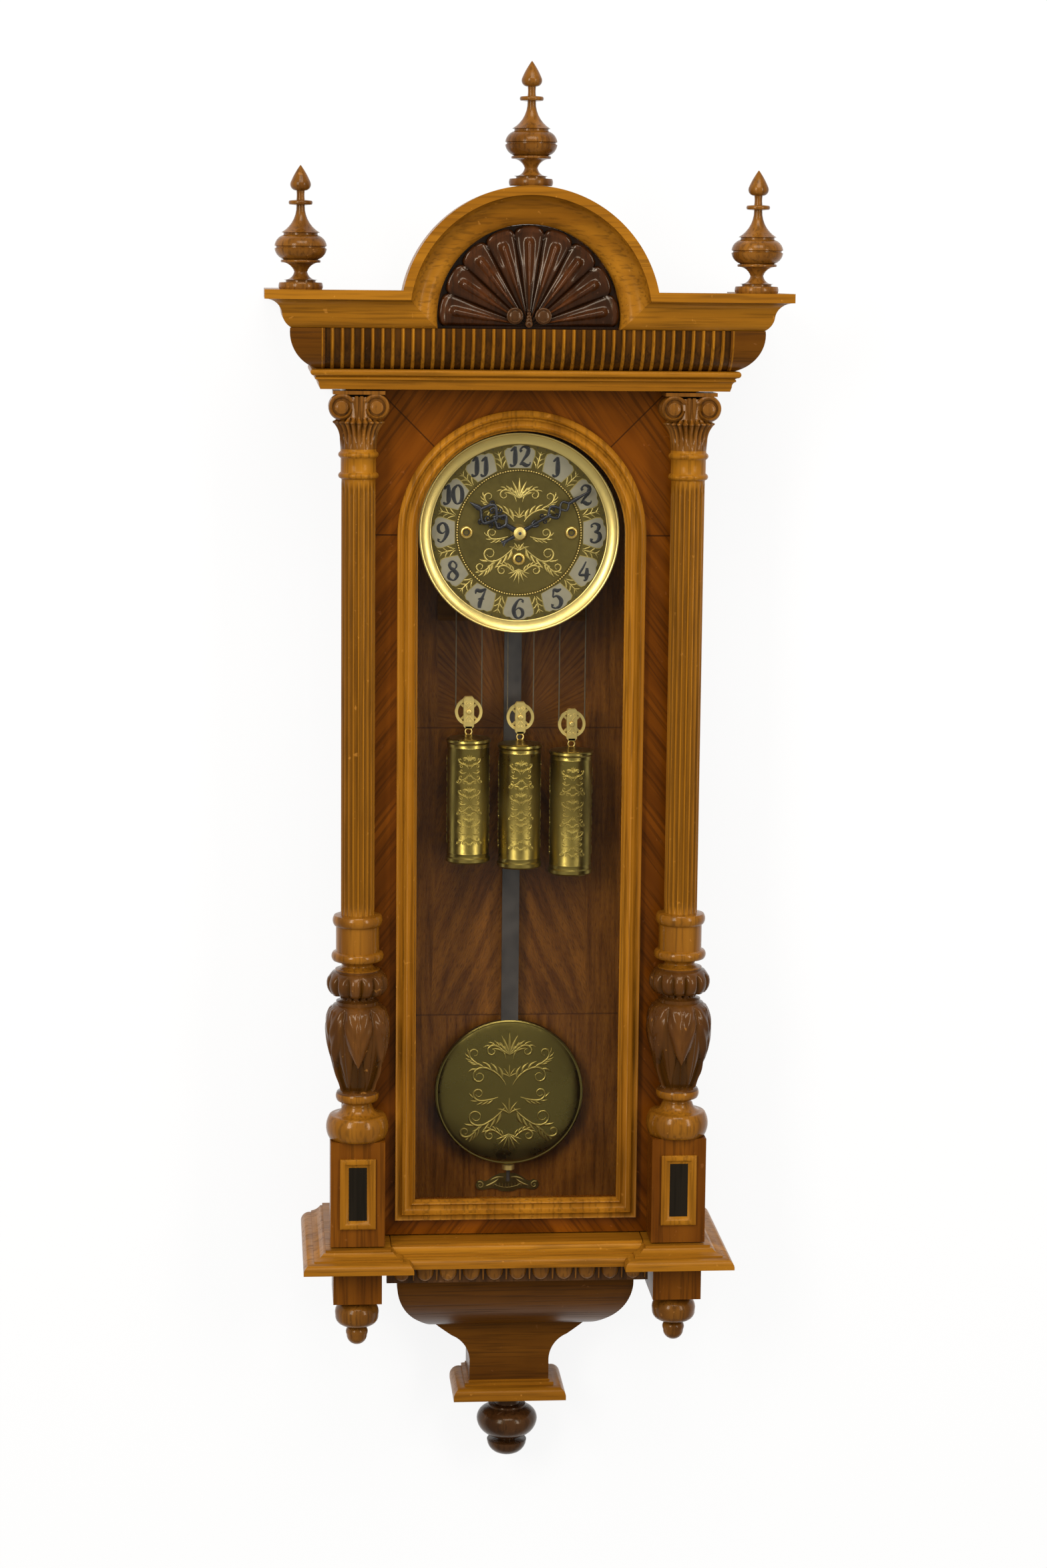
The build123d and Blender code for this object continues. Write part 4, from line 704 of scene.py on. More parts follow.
# %% The cornice and its arch
ARCH_RISE = 10.7
ARCH_CENTRE = CORNICE_Z + ARCH_RISE
ARCH_R = 87.5
CORNICE_H = 35.5
cornice_section = section(
    (0, 0), (8.5, 13, -1.9), (24, 26.8, 4), (25, 26.8), (25, CORNICE_H))


def mitre(h):
    """How far from the middle the straight cornice meets the arch at height h."""
    return sqrt((ARCH_R + h) ** 2 - (h - ARCH_RISE) ** 2)


cornice = Form()
for side in (-1, 1):
    run = [(p, h, mitre(h)) for p, h in cornice_section]
    run += [(-10.0, CORNICE_H, mitre(CORNICE_H)), (-10.0, 0.0, mitre(0.0))]
    cornice.loft([
        [(side * m, -187 - p, CORNICE_Z + h) for p, h, m in run],
        [(side * (225 + p), -187 - p, CORNICE_Z + h) for p, h, m in run],
        [(side * (225 + p), 0.0, CORNICE_Z + h) for p, h, m in run]])
rings = []
for i in range(73):
    ring = []
    for p, h in cornice_section + [(-20.0, CORNICE_H), (-20.0, 0.0)]:
        start = atan2(h - ARCH_RISE, mitre(h))
        angle = start + (pi - 2 * start) * i / 72
        radius = ARCH_R + h
        ring.append((radius * cos(angle), -187 - p, ARCH_CENTRE + radius * sin(angle)))
    rings.append(ring)
cornice.loft(rings)
cornice.done("cornice_moulding", walnut_across, "case", "cornice")

# %% [markdown]
# ## Shapes that repeat
# A shape that repeats is drawn once, and Geometry Nodes set it along a line or round a circle. A
# small class writes the tree, and the result is kept as plain faces.


# %% Shapes that repeat
class Tree:
    """A geometry tree, written node by node."""

    def __init__(self, name):
        self.group = bpy.data.node_groups.new(name, "GeometryNodeTree")
        self.group.interface.new_socket("Geometry", in_out="OUTPUT", socket_type="NodeSocketGeometry")

    def size(self, name, kind, value):
        """A named input with its default."""
        socket = self.group.interface.new_socket(name, in_out="INPUT", socket_type=kind)
        socket.default_value = value
        return socket

    def add(self, kind, settings=None, **feeds):
        node = self.group.nodes.new(kind)
        for key, setting in (settings or {}).items():
            setattr(node, key, setting)
        for key, feed in feeds.items():
            target = node.inputs[key.replace("_", " ")]
            if isinstance(feed, bpy.types.NodeSocket):
                self.group.links.new(feed, target)
            else:
                target.default_value = feed
        return node.outputs

    def end(self, geometry, finish):
        real = self.add("GeometryNodeRealizeInstances", Geometry=geometry)
        painted = self.add("GeometryNodeSetMaterial", Geometry=real[0], Material=finish)
        out = self.group.nodes.new("NodeGroupOutput")
        self.group.links.new(painted[0], out.inputs[0])
        return self.group


def grown(name, tree, body, sizes, *stands_for, sharp=38):
    """Run a tree on an empty mesh, keep its result as plain faces, and let it ride."""
    holder = bpy.data.objects.new(name + "_tree", bpy.data.meshes.new(name + "_tree"))
    bpy.context.collection.objects.link(holder)
    modifier = holder.modifiers.new("repeat", "NODES")
    modifier.node_group = tree
    for item in tree.interface.items_tree:
        if item.in_out == "INPUT" and item.name in sizes:
            modifier[item.identifier] = sizes[item.name]
    seen = holder.evaluated_get(bpy.context.evaluated_depsgraph_get())
    mesh = bpy.data.meshes.new_from_object(seen)
    bpy.data.objects.remove(holder)
    mesh.name = name
    mesh.shade_smooth()
    mesh.set_sharp_from_angle(angle=radians(sharp))
    piece = bpy.data.objects.new(name, mesh)
    bpy.context.collection.objects.link(piece)
    if stands_for:
        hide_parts(*stands_for)
    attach(piece, body)
    print(name, len(mesh.polygons), "faces")
    return piece


def pattern_of(form, name):
    """A shape to be repeated; it is kept only while its tree runs."""
    mesh = bpy.data.meshes.new(name)
    mesh.from_pydata([Vector(p) * MM for p in form.points], [], form.faces)
    pattern = bpy.data.objects.new(name, mesh)
    bpy.context.collection.objects.link(pattern)
    return pattern


def row_tree(name, pattern, finish, count, start, step):
    """Copies of a pattern at equal steps from a start, both in metres."""
    tree = Tree(name)
    tree.size("Count", "NodeSocketInt", count)
    tree.size("Start", "NodeSocketVector", start)
    tree.size("Step", "NodeSocketVector", step)
    given = tree.group.nodes.new("NodeGroupInput").outputs
    line = tree.add(
        "GeometryNodeMeshLine", {"mode": "OFFSET"}, Count=given["Count"],
        Start_Location=given["Start"], Offset=given["Step"])
    shape = tree.add("GeometryNodeObjectInfo", Object=pattern)
    copies = tree.add("GeometryNodeInstanceOnPoints", Points=line[0], Instance=shape["Geometry"])
    return tree.end(copies[0], finish)


# %% [markdown]
# ## The fluted frieze
# Between architrave and cornice the board swells forward like a quarter of an ellipse. Thin walls
# stand between its flutes over a floor painted dark as the shade in the flutes.

# %% The fluted frieze
swell = section((0, 0), (26, 39, -8.5), steps=14)
FLUTE_STEP = 391.0 / 41
frieze = Form()
floor_section = [(-2.6 + p, h) for p, h in swell]
moulded(frieze, floor_section, 199, 162, FRIEZE_Z, 14)
edge = [(-162 - p, FRIEZE_Z + h) for p, h in swell] + [(-150, CORNICE_Z), (-150, FRIEZE_Z)]
for side in (-1, 1):
    frieze.loft([
        [(side * 193.0, y, z) for y, z in edge],
        [(side * (200 + max(0.0, -162 - y)), y, z) for y, z in edge]])
frieze.done("frieze_board", veneer_across, "case", "frieze")
floor = Form()
floor_run = [(-159.6 - p, FRIEZE_Z + h) for p, h in swell] + [(-158, CORNICE_Z), (-158, FRIEZE_Z)]
floor.loft([[(x, y, z) for y, z in floor_run] for x in (-194.5, 194.5)])
# the flute floor carries painted shade
floor.done("flute_floor", flute_shade_wood, "case")

wall_run = [(-159 - p, FRIEZE_Z + h) for p, h in swell]
outer_run = [(-162.4 - p, FRIEZE_Z + h) for p, h in swell]
arris = Form()
arris.loft([
    [(-1.9, y0, z0), (-0.7, y1, z1), (0.7, y1, z1), (1.9, y0, z0)]
    for (y0, z0), (y1, z1) in zip(wall_run, outer_run)])
arris_pattern = pattern_of(arris, "arris_pattern")
start = (-FLUTE_STEP * 20.5 * MM, 0.0, 0.0)
grown("frieze_arrises", row_tree(
    "arris_row", arris_pattern, walnut_upright, 42, start, (FLUTE_STEP * MM, 0.0, 0.0)),
    "case", {"Count": 42})
bpy.data.objects.remove(arris_pattern)

# %% [markdown]
# ## The egg-and-dart rail
# Under the base runs a carved rail: eggs that hang like drops, with a dart between each pair. One
# egg and one dart are the pattern, and a line of points repeats them.

# %% The egg-and-dart rail
EGG_STEP = 23.19
EGG_TOP = -926.5
EGG_DROP = 15.5
egg = Form()
egg_rings = []
for i in range(9):
    down = i / 8
    half = 8.6 * sqrt(max(0.0, 1 - (down * 0.98) ** 2.6)) + 0.6
    z = EGG_TOP - EGG_DROP * down
    bulge = 6.4 * sqrt(max(0.0, 1 - (down * 0.96) ** 2))
    egg_rings.append([
        (half * cos(pi * k / 12), -157.5 - bulge * sin(pi * k / 12), z) for k in range(13)])
egg.loft(egg_rings)
dart = section((-1.1, -928.2), (1.1, -928.2), (0.5, -940.5), (-0.5, -940.5))
egg.loft([[(x + EGG_STEP / 2, y, z) for x, z in dart] for y in (-156.0, -161.5)])
egg_pattern = pattern_of(egg, "egg_pattern")
grown("egg_row", row_tree(
    "eggs", egg_pattern, turned_walnut, 11, (-EGG_STEP * 5 * MM, 0.0, 0.0), (EGG_STEP * MM, 0.0, 0.0)),
    "case", {"Count": 11}, sharp=50)
bpy.data.objects.remove(egg_pattern)
rail = Form().block(-131, 131, -158, -151, -944, -926).block(-131, 131, -161.5, -151, -929, -926)
rail.done("egg_rail_board", turned_dark_shaded, "case", "egg_rail")

# %% [markdown]
# ## The carved shell
# A half disc of nine lobes fills the arch. Each lobe has a scalloped rim and a long raised rib with
# a rounded end, and two turned bosses sit where the lobes meet. The relief follows a rule in polar
# coordinates, so a grid of heights makes it.


# %% The carved shell
def shell_height(reach, lobe):
    """Relief in mm at a share of the radius, for a place across a lobe from -0.5 to 0.5."""
    dome = 3.6 * sqrt(max(0.0, 1 - (2 * abs(lobe)) ** 2.4)) * min(1.0, reach * 1.6)
    width = 0.13 + 0.03 * reach
    across = max(0.0, 1 - (lobe / width) ** 2)
    ends = min(1.0, max(0.0, (0.87 - reach) / 0.05)) * min(1.0, reach / 0.12)
    rib = 3.8 * sqrt(across) * sqrt(max(0.0, ends))
    rim = 1.5 * max(0.0, 1 - abs(reach - 0.965) / 0.035)
    dish = -1.6 * max(0.0, 1 - ((reach - 0.80) / 0.16) ** 2) * (1 - across) * (1 - abs(2 * lobe))
    return dome + rib + rim + dish


LOBES = 9
ACROSS = 14
OUTWARD = 44
SHELL_R = 86.6
shell_rows = []
for i in range(LOBES * ACROSS + 1):
    angle = pi * i / (LOBES * ACROSS)
    lobe = (i % ACROSS) / ACROSS - 0.5 if i < LOBES * ACROSS else -0.5
    edge = SHELL_R * (0.945 + 0.055 * sqrt(max(0.0, 1 - (2 * abs(lobe)) ** 2)))
    row = []
    for j in range(OUTWARD + 1):
        reach = j / OUTWARD
        radius = 2.0 + (edge - 2.0) * reach
        lift = shell_height(reach, lobe) + 8.0 - 3.0 * reach
        # the fourth number is the carving depth that the finish turns into painted shade
        row.append((
            radius * cos(angle), -172.0 - lift, ARCH_CENTRE - 8.0 + radius * sin(angle) * 1.09,
            shell_height(reach, lobe) - 3.4))
    row.append((row[-1][0], -169.0, row[-1][2]))
    row.append((0.0, -169.0, ARCH_CENTRE - 8.0))
    shell_rows.append(row)
shell = Form().loft(shell_rows, caps=False)
bosses = Form()
for x in (-13.5, 13.5):
    bosses.turn_facing(x, CORNICE_Z + 12.5, section(
        (7.8, -174), (7.8, -185.5), (6.2, -188, -0.8), (5.0, -187.2), (0, -187.9, 0.3)), 40)
for i in range(5):
    bosses.turn_facing(0, CORNICE_Z + 5.0 + i * 3.2, section(
        (3.6 - i * 0.55, -174), (3.4 - i * 0.55, -184 + i * 0.3), (0, -186 + i * 0.3, -0.7)), 24)
shell.done("shell_lobes", carved_dark, "case", "shell_carving", sharp=60)
bosses.done("shell_bosses", turned_dark_shaded, "case", sharp=50)
board = Form()
board_edge = [(87.4 * cos(pi * i / 48), ARCH_CENTRE + 87.4 * sin(pi * i / 48)) for i in range(49)]
board_edge += [(-86.8, CORNICE_Z), (86.8, CORNICE_Z)]
board.plate(board_edge, -170.0, -167.0)
board.done("shell_board", carved_dark, "case")

# %% [markdown]
# ## Turnings
# Finials, pendants, the bottom drop and the lower columns are lathe work. Each profile is a run of
# beads, coves and fillets, read from the top down as a turner would gauge it.


# %% Turnings
def gauge(top, radius, segments, steps=7):
    """A profile from its top down; a segment is (radius, drop) or (radius, drop, bulge)."""
    moves = []
    z = top
    for end, drop, *bulge in segments:
        z -= drop
        moves.append((end, z, *bulge))
    return section((radius, top), *moves, steps=steps)


FINIAL = [
    (9.4, 16, 0.6), (3.9, 7.5, 2.4), (3.9, 8.4, -0.3), (10.5, 0.8), (10.5, 3.6, 0.7), (3.9, 0.8),
    (18, 25, -4), (16, 0.5), (16, 1.8), (24.5, 10, 2), (23, 0.8), (23, 1), (24.5, 0.8), (16, 10, 2),
    (18.3, 0.5), (18.3, 2.3, 0.4), (6.1, 8.5, -2.5), (16, 7.6, -2.5), (14, 0.5), (14, 1.5), (20, 0.5),
    (20, 6.5, 0.8)]
FINIAL_H = sum(segment[1] for segment in FINIAL)
cornice_top = CORNICE_Z + CORNICE_H
finials = Form()
for x in (-216, 216):
    finials.turn(x, -190, gauge(cornice_top + FINIAL_H, 0.3, FINIAL))
finials.turn(0, -190, gauge(ARCH_CENTRE + ARCH_R + CORNICE_H + FINIAL_H, 0.3, FINIAL))
finials.done("turned_finials", turned_walnut, "case", "finials", sharp=32)

PENDANT = [
    (9, 2.5), (21.7, 15, 5), (8, 9, 5), (5, 0.8), (5, 1.4), (10.3, 9.4, 3), (0.3, 10.3, 3)]
pendants = Form()
for x in (-160, 160):
    pendants.turn(x, -138.8, gauge(-764.0 + DIAL_Z, 6, PENDANT))
pendants.done("turned_pendants", turned_walnut, "case", "pendant_drops", sharp=32)

DROP = [
    (13, 10.5, -0.8), (19.3, 0.8), (19.3, 3.2, 0.5), (22, 0.8), (31.2, 14.5, 3.5), (12, 15.5, 4.5),
    (9, 1), (9, 3), (20.5, 0.8), (20.5, 1.2), (4, 13.5, 4.5)]
Form().turn(0, -36, gauge(-1102.5, 13, DROP), 96).done(
    "turned_bottom_drop", turned_dark_shaded, "case", "bottom_drop", sharp=32)

# %% [markdown]
# ## The columns
# A fluted shaft stands on a turned baluster and a panelled plinth, under a carved capital. The
# baluster is one long profile whose knob and vase carry carving, so the lathe helper takes a
# ripple: a rule that adds to the radius by angle and height.

# %% The columns
COLUMN_X = 160.0
COLUMN_Y = -141.0
DOOR_TOP = ARCHITRAVE_Z - 1.5
SHAFT_TOP = DOOR_TOP - 87.0
SHAFT_LOW = SHAFT_TOP - 425.0

NECKING = [
    (17.3, 2), (18.2, 1), (18.2, 5, 1.3), (17.1, 1), (17.1, 13), (18.2, 1), (18.2, 5, 1.3), (16.4, 1),
    (16.4, 2)]
BALUSTER = [
    (23, 1), (23, 10, 1.6), (21.3, 1), (21.3, 25), (24.3, 1), (24.3, 8, 1.5), (20, 1),
    (14.8, 4, -1), (20, 3.5, -1), (22, 0.5), (22, 2), (25, 1), (25, 22, 4.5), (17, 1), (17, 5, -1),
    (21, 1), (21, 3), (24, 1), (30.4, 29, 2.5), (17, 58, 2.5), (20, 1), (20, 9, 1.4), (15, 1.5),
    (15, 4, -1), (27, 9, -3), (28, 1), (28, 22.5, 3), (27, 0.5)]
VASE_TOP = SHAFT_LOW - 91.0


def fluted(angle, radius, z):
    """Twenty flutes that run out just below the necking and just above the baluster."""
    if abs(radius - 16.4) > 0.01:
        return 0.0
    open_share = min(1.0, max(0.0, (SHAFT_TOP - 2 - z) / 4), max(0.0, (z - SHAFT_LOW - 3) / 4))
    across = abs((angle * 20 / (2 * pi)) % 1 - 0.5) * 2
    return -1.7 * open_share * sqrt(max(0.0, 1 - (across / 0.80) ** 2))


def carved_vase(angle, radius, z):
    """Gadroons on the knob; down the vase, six leaves over six longer ones."""
    drop = VASE_TOP - z
    if -30.0 < drop < -7.0:
        return 1.0 - 4.2 * (1 - abs(sin(angle * 6.5))) ** 1.6
    if not 2.0 < drop < 86.0:
        return 0.0
    share = (drop - 2.0) / 84.0
    across = (angle * 6 / (2 * pi)) % 1 - 0.5
    half = 0.47 * (1 - min(1.0, share / 0.70) ** 2.4) + 0.001
    if abs(across) < half:
        rounded = 1 - (abs(across) / half) ** 3
        vein = 1.0 * max(0.0, 1 - abs(across) * 18)
        return 0.2 + 2.4 * rounded - vein + 0.45 * sin(26 * share + abs(across) * 20)
    behind = 0.5 - abs(across)
    half = 0.40 * (1 - share ** 3) + 0.001
    if behind < half:
        return -2.4 + 1.9 * (1 - (behind / half) ** 2) - 0.7 * max(0.0, 1 - behind * 18)
    return -3.4


def spaced(profile, gap):
    """Extra points on the long runs of a profile, so that carving has faces to live on."""
    points = [profile[0]]
    for r, z in profile[1:]:
        r0, z0 = points[-1]
        count = max(1, int(abs(z0 - z) / gap))
        points += [(r0 + (r - r0) * k / count, z0 + (z - z0) * k / count) for k in range(1, count + 1)]
    return points


shafts = Form()
balusters = Form()
shaft_profile = gauge(SHAFT_TOP + 31.0, 17.3, NECKING)
shaft_profile += [(16.4, SHAFT_TOP - 8), (16.4, SHAFT_TOP - 13), (16.4, SHAFT_LOW + 13),
                  (16.4, SHAFT_LOW + 8), (16.4, SHAFT_LOW)]
baluster_profile = gauge(SHAFT_LOW, 16.4, BALUSTER)
vase = spaced(baluster_profile, 1.8)
for x in (-COLUMN_X, COLUMN_X):
    shafts.turn(x, COLUMN_Y, shaft_profile, 200, fluted)
    balusters.turn(x, COLUMN_Y, vase, 216, carved_vase)
for x in (-COLUMN_X, COLUMN_X):
    balusters.block(x - 12, x + 12, -138, -122, -795, -575)
shafts.done("fluted_shafts", walnut_upright, "door", "column_shafts", sharp=50)
balusters.done("carved_balusters", baluster_wood, "door", "balusters", sharp=50)

# %% [markdown]
# ## The capitals
# The capital is a bell of upright leaves under a square abacus. A pair of big scrolls springs from
# its middle. A scroll is a raised band along a spiral, laid on a disc.


# %% The capitals
def spiral(u, v, start, turns, size, width, hand=1, steps=30):
    """A band that winds in to (u, v); the first point is its outer end."""
    run = []
    for i in range(steps + 1):
        share = i / steps
        angle = start + hand * turns * 2 * pi * share
        radius = size * (1 - share) ** 0.9 + 0.15
        run.append((u + radius * cos(angle), v + radius * sin(angle), width * (1 - 0.55 * share)))
    return run


def smooth(points, steps=6):
    """A smooth run through points; every number in a point is carried along."""
    run = []
    ends = [points[0]] + list(points) + [points[-1]]
    for i in range(len(points) - 1):
        p0, p1, p2, p3 = ends[i:i + 4]
        for k in range(steps):
            t = k / steps
            run.append(tuple(
                0.5 * (2 * b + t * (c - a) + t * t * (2 * a - 5 * b + 4 * c - d)
                       + t ** 3 * (3 * (b - c) + d - a))
                for a, b, c, d in zip(p0, p1, p2, p3)))
    return run + [tuple(points[-1])]


def reeds(angle, radius, z):
    """Upright leaves that open towards the lip of the bell, with notches between them."""
    drop = DOOR_TOP - z
    if drop < 26:
        return 0.0
    depth = 2.6 * max(0.0, 1 - abs(drop - 31) / 26)
    across = abs((angle * 11 / pi) % 1 - 0.5) * 2
    return -depth * across ** 1.5 + 0.5 * depth * (1 - across)


capitals = Form()
bell = spaced(section(
    (18.5, DOOR_TOP - 6), (19.0, DOOR_TOP - 24), (23.5, DOOR_TOP - 29.5, -1.2),
    (22.8, DOOR_TOP - 31.5, 0.6), (17.6, DOOR_TOP - 47, -1.6), (17.3, DOOR_TOP - 56)), 1.5)
for x in (-COLUMN_X, COLUMN_X):
    capitals.turn(x, COLUMN_Y, bell, 132, reeds)
    capitals.block(x - 25, x + 25, COLUMN_Y - 19, -122, DOOR_TOP - 3.5, DOOR_TOP)
    for side in (-1, 1):
        centre_x = x + side * 16.8
        centre_z = DOOR_TOP - 15.8
        capitals.turn_facing(centre_x, centre_z, section(
            (12.0, -122.5), (12.4, COLUMN_Y - 14.5), (11.6, COLUMN_Y - 15.5), (0, COLUMN_Y - 15.8)), 56)
        capitals.turn_facing(centre_x, centre_z, section(
            (6.3, COLUMN_Y - 15), (6.3, COLUMN_Y - 19.0), (5.2, COLUMN_Y - 20.4, 0.6),
            (0, COLUMN_Y - 21.0, 0.3)), 40)
        band = [
            (centre_x - side * 15.2, centre_z - 11.5, 3.6), (centre_x - side * 14.0, centre_z - 3.0, 4.4),
            (centre_x - side * 12.6, centre_z + 5.0, 4.8)]
        for k in range(22):
            turn = 2.55 - k * 0.265
            reach = 11.6 - 0.115 * k
            band.append((
                centre_x + side * cos(turn) * reach, centre_z + sin(turn) * reach, 4.8 - 0.09 * k))
        capitals.strokes(
            [smooth(band, 3)], lambda u, v, h: (u, COLUMN_Y - 16.2 - 1.3 * h, v), 2.6)
    for u, width in ((-2.4, 3.6), (2.4, 3.6)):
        tongue = [(x + u, DOOR_TOP - 5 - 3.2 * k, width * (1 - (k / 8.4) ** 3)) for k in range(9)]
        capitals.strokes([tongue], lambda u, v, h: (u, COLUMN_Y - 19.0 - 1.4 * h, v), 1.8)
capitals.done("carved_capitals", turned_walnut, "door", "capitals", sharp=45)

# %% [markdown]
# ## The plinths
# Each plinth is a veneered block with a raised frame round a nearly black panel. The frame is a
# mitred moulding, swept round four corners.


# %% The plinths
PLINTH_LOW = -904.5
PLINTH_TOP = -798.0


def framed(form, x, z0, z1, half, width, front, rise):
    """A mitred frame with a softened section, on the face at front."""
    rings = []
    steps = [(0, 0), (0, rise * 0.7), (width * 0.2, rise), (width * 0.55, rise), (width * 0.8, rise * 0.4),
             (width, rise * 0.25), (width, 0)]
    for sx, sz in ((-1, 0), (1, 0), (1, 1), (-1, 1)):
        rings.append([
            (x + sx * (half - s), front - r, (z1 - s) if sz else (z0 + s)) for s, r in steps])
    return form.loft(rings, closed=True)


plinths = Form()
for x in (-COLUMN_X, COLUMN_X):
    plinths.block(x - 27, x + 27, -163, -122, PLINTH_LOW, PLINTH_TOP)
plinths.done("plinth_blocks", veneer, "door", "plinths")
plinth_frames = Form()
plinth_panels = Form()
for x in (-COLUMN_X, COLUMN_X):
    framed(plinth_frames, x, -886.0, -814.6, 17.6, 8.6, -163.0, 3.5)
    plinth_panels.block(x - 9.4, x + 9.4, -163.9, -162, -878, -822.6)
plinth_frames.done("plinth_frames", walnut_upright, "door")
plinth_panels.done("plinth_panels", inlay_dark, "door")

# %% [markdown]
# ## The door moulding
# A bead, a quirk and an ogee run up both sides of the glass and over it as a half round. One swept
# section makes it: straight legs, a half circle of sections, and true mitres at the sill.

# %% The door moulding
SIGHT = 101.5
SILL = -888.0
door_section = section(
    (20, 0), (20, 7), (13.5, 10.5, 2.8), (12.5, 7.5), (11, 7.5), (3.5, 8, 2.6), (1.5, 4, -0.6),
    (0, 3.6), (0, 0))
rings = []
rings.append([(SIGHT + u, -122 - v, SILL + 20 - u) for u, v in door_section])
for i in range(61):
    angle = pi * i / 60
    rings.append([
        ((SIGHT + u) * cos(angle), -122 - v, DIAL_Z + (SIGHT + u) * sin(angle)) for u, v in door_section])
rings.append([(-SIGHT - u, -122 - v, SILL + 20 - u) for u, v in door_section])
Form().loft(rings, closed=True).done("door_moulding_run", walnut_upright, "door", "door_moulding")

# %% [markdown]
# ## Scrolls and foliage
# The dial centre, the bob, the weights and the beat plate carry the same pressed ornament: scrolls,
# fronds and a palmette, mirrored about the middle. Each is a few bands that are drawn on a flat
# sheet, and a small rule wraps the sheet on a disc or round a weight.


# %% Scrolls and foliage
def frond(u, v, heading, length, curl, width=2.2, steps=14):
    """A tapering leaf that starts at (u, v) and bends as it goes."""
    run = []
    for i in range(steps + 1):
        share = i / steps
        run.append((u, v, width * sin(pi * (0.12 + 0.86 * share)) + 0.15))
        angle = heading + curl * share
        u += cos(angle) * length / steps
        v += sin(angle) * length / steps
    return run


def mirror_runs(runs):
    return runs + [[(-u, v, w) for u, v, w in run] for run in runs]


def palmette(u, v, size, leaves=7, turned=pi / 2):
    """A fan of leaves, as on a shell."""
    runs = []
    for i in range(leaves):
        tilt = (i - (leaves - 1) / 2) * 1.9 / (leaves - 1)
        length = size * (1 - 0.25 * abs(tilt))
        runs.append(frond(u, v, turned + tilt, length, tilt * 0.5, size * 0.15))
    return runs


def sweep(u, v, heading, legs, width):
    """A line that bends as it goes; a leg is a length with its bend at the start and at the end."""
    run = [(u, v, width * 0.35)]
    total = sum(length for length, *_ in legs)
    gone = 0.0
    for length, first, last in legs:
        count = max(6, round(30 * length / total))
        step = length / count
        for k in range(count):
            heading += (first + (last - first) * (k + 0.5) / count) * step
            u += cos(heading) * step
            v += sin(heading) * step
            gone += step
            run.append((u, v, width * (0.35 + 0.65 * sin(pi * min(1.0, gone / total) ** 0.8))))
    return run


def leafy(stem, leaf, side):
    """A stem with small pointed leaves on its outer side."""
    runs = [stem]
    for i in range(3, len(stem) - 14, 3):
        heading = atan2(stem[i + 1][1] - stem[i][1], stem[i + 1][0] - stem[i][0])
        size = leaf * (1 - 0.5 * i / len(stem))
        runs.append(frond(
            stem[i][0], stem[i][1], heading + side * 0.75, size, -side * 0.9, size * 0.28, 7))
    return runs


def scrollwork(s, v0=0.0, bold=1.0):
    """Mirrored leafy scrolls beside a middle line of palmettes, on a sheet of half-width s."""
    stems = (
        (0.05, 0.12, 1.15, ((0.42, -1.6, -3.0), (0.62, -4.6, -20.0)), 0.15, 1),
        (0.05, 0.50, 1.45, ((0.22, -3.0, -5.0), (0.42, -5.5, -26.0)), 0.11, 1),
        (0.40, 0.40, 0.50, ((0.15, 0.5, 1.5), (0.36, 5.0, 26.0)), 0.10, -1),
        (0.05, -0.20, -0.90, ((0.40, 0.5, 1.5), (0.72, 3.6, 18.0)), 0.15, -1),
        (0.16, -0.06, -0.35, ((0.24, 0.6, 1.5), (0.50, 5.5, 24.0)), 0.10, -1),
        (0.04, -0.70, 0.90, ((0.22, -1.0, -2.5), (0.42, -6.5, -26.0)), 0.10, 1),
        (0.40, -0.45, -1.00, ((0.22, 0.5, 2.0), (0.42, 5.5, 26.0)), 0.12, -1))
    runs = []
    for u, v, heading, legs, leaf, side in stems:
        legs = [(length * s, first / s, last / s) for length, first, last in legs]
        runs += leafy(sweep(u * s, v * s, heading, legs, 0.044 * s * bold), leaf * s * 1.4, side)
    runs = mirror_runs(runs)
    runs += palmette(0, 0.56 * s, 0.34 * s) + palmette(0, 0.24 * s, 0.18 * s, 5)
    runs += palmette(0, -0.30 * s, 0.24 * s, 5)
    runs += palmette(0, -0.60 * s, 0.26 * s, 7, -pi / 2)
    return [[(u, v + v0, w) for u, v, w in run] for run in runs]


def trimmed(runs, clear):
    """Cut the runs where they would lie over something."""
    pieces = []
    for run in runs:
        piece = []
        for point in run + [None]:
            if point and clear(point[0], point[1]):
                piece.append(point)
            else:
                if len(piece) > 3:
                    pieces.append(piece)
                piece = []
    return pieces


# %% [markdown]
# ## The dial
# Outwards from the middle: a brass centre with pressed scrolls, a ring of beads, a chapter ring with
# twelve silvered shields, and a broad bezel of spun brass on its pan.


# %% The dial
def ring_tree(name, pattern, finish, count, radius, centre, turned=True):
    """Copies of a pattern on an upright circle; the pattern's up points outwards."""
    tree = Tree(name)
    tree.size("Count", "NodeSocketInt", count)
    tree.size("Radius", "NodeSocketFloat", radius)
    given = tree.group.nodes.new("NodeGroupInput").outputs
    circle = tree.add("GeometryNodeMeshCircle", Vertices=given["Count"], Radius=given["Radius"])
    shape = tree.add("GeometryNodeObjectInfo", Object=pattern)
    spot = tree.add("GeometryNodeInputPosition")
    heading = tree.add(
        "FunctionNodeAlignRotationToVector", {"axis": "Y"}, Vector=spot[0])
    copies = tree.add(
        "GeometryNodeInstanceOnPoints", Points=circle[0], Instance=shape["Geometry"],
        **({"Rotation": heading[0]} if turned else {}))
    stood = tree.add(
        "GeometryNodeTransform", Geometry=copies[0], Rotation=(pi / 2, 0, 0), Translation=centre)
    return tree.end(stood[0], finish)


def on_dial(depth):
    return lambda u, v, h: (u, -depth - h, DIAL_Z + v)


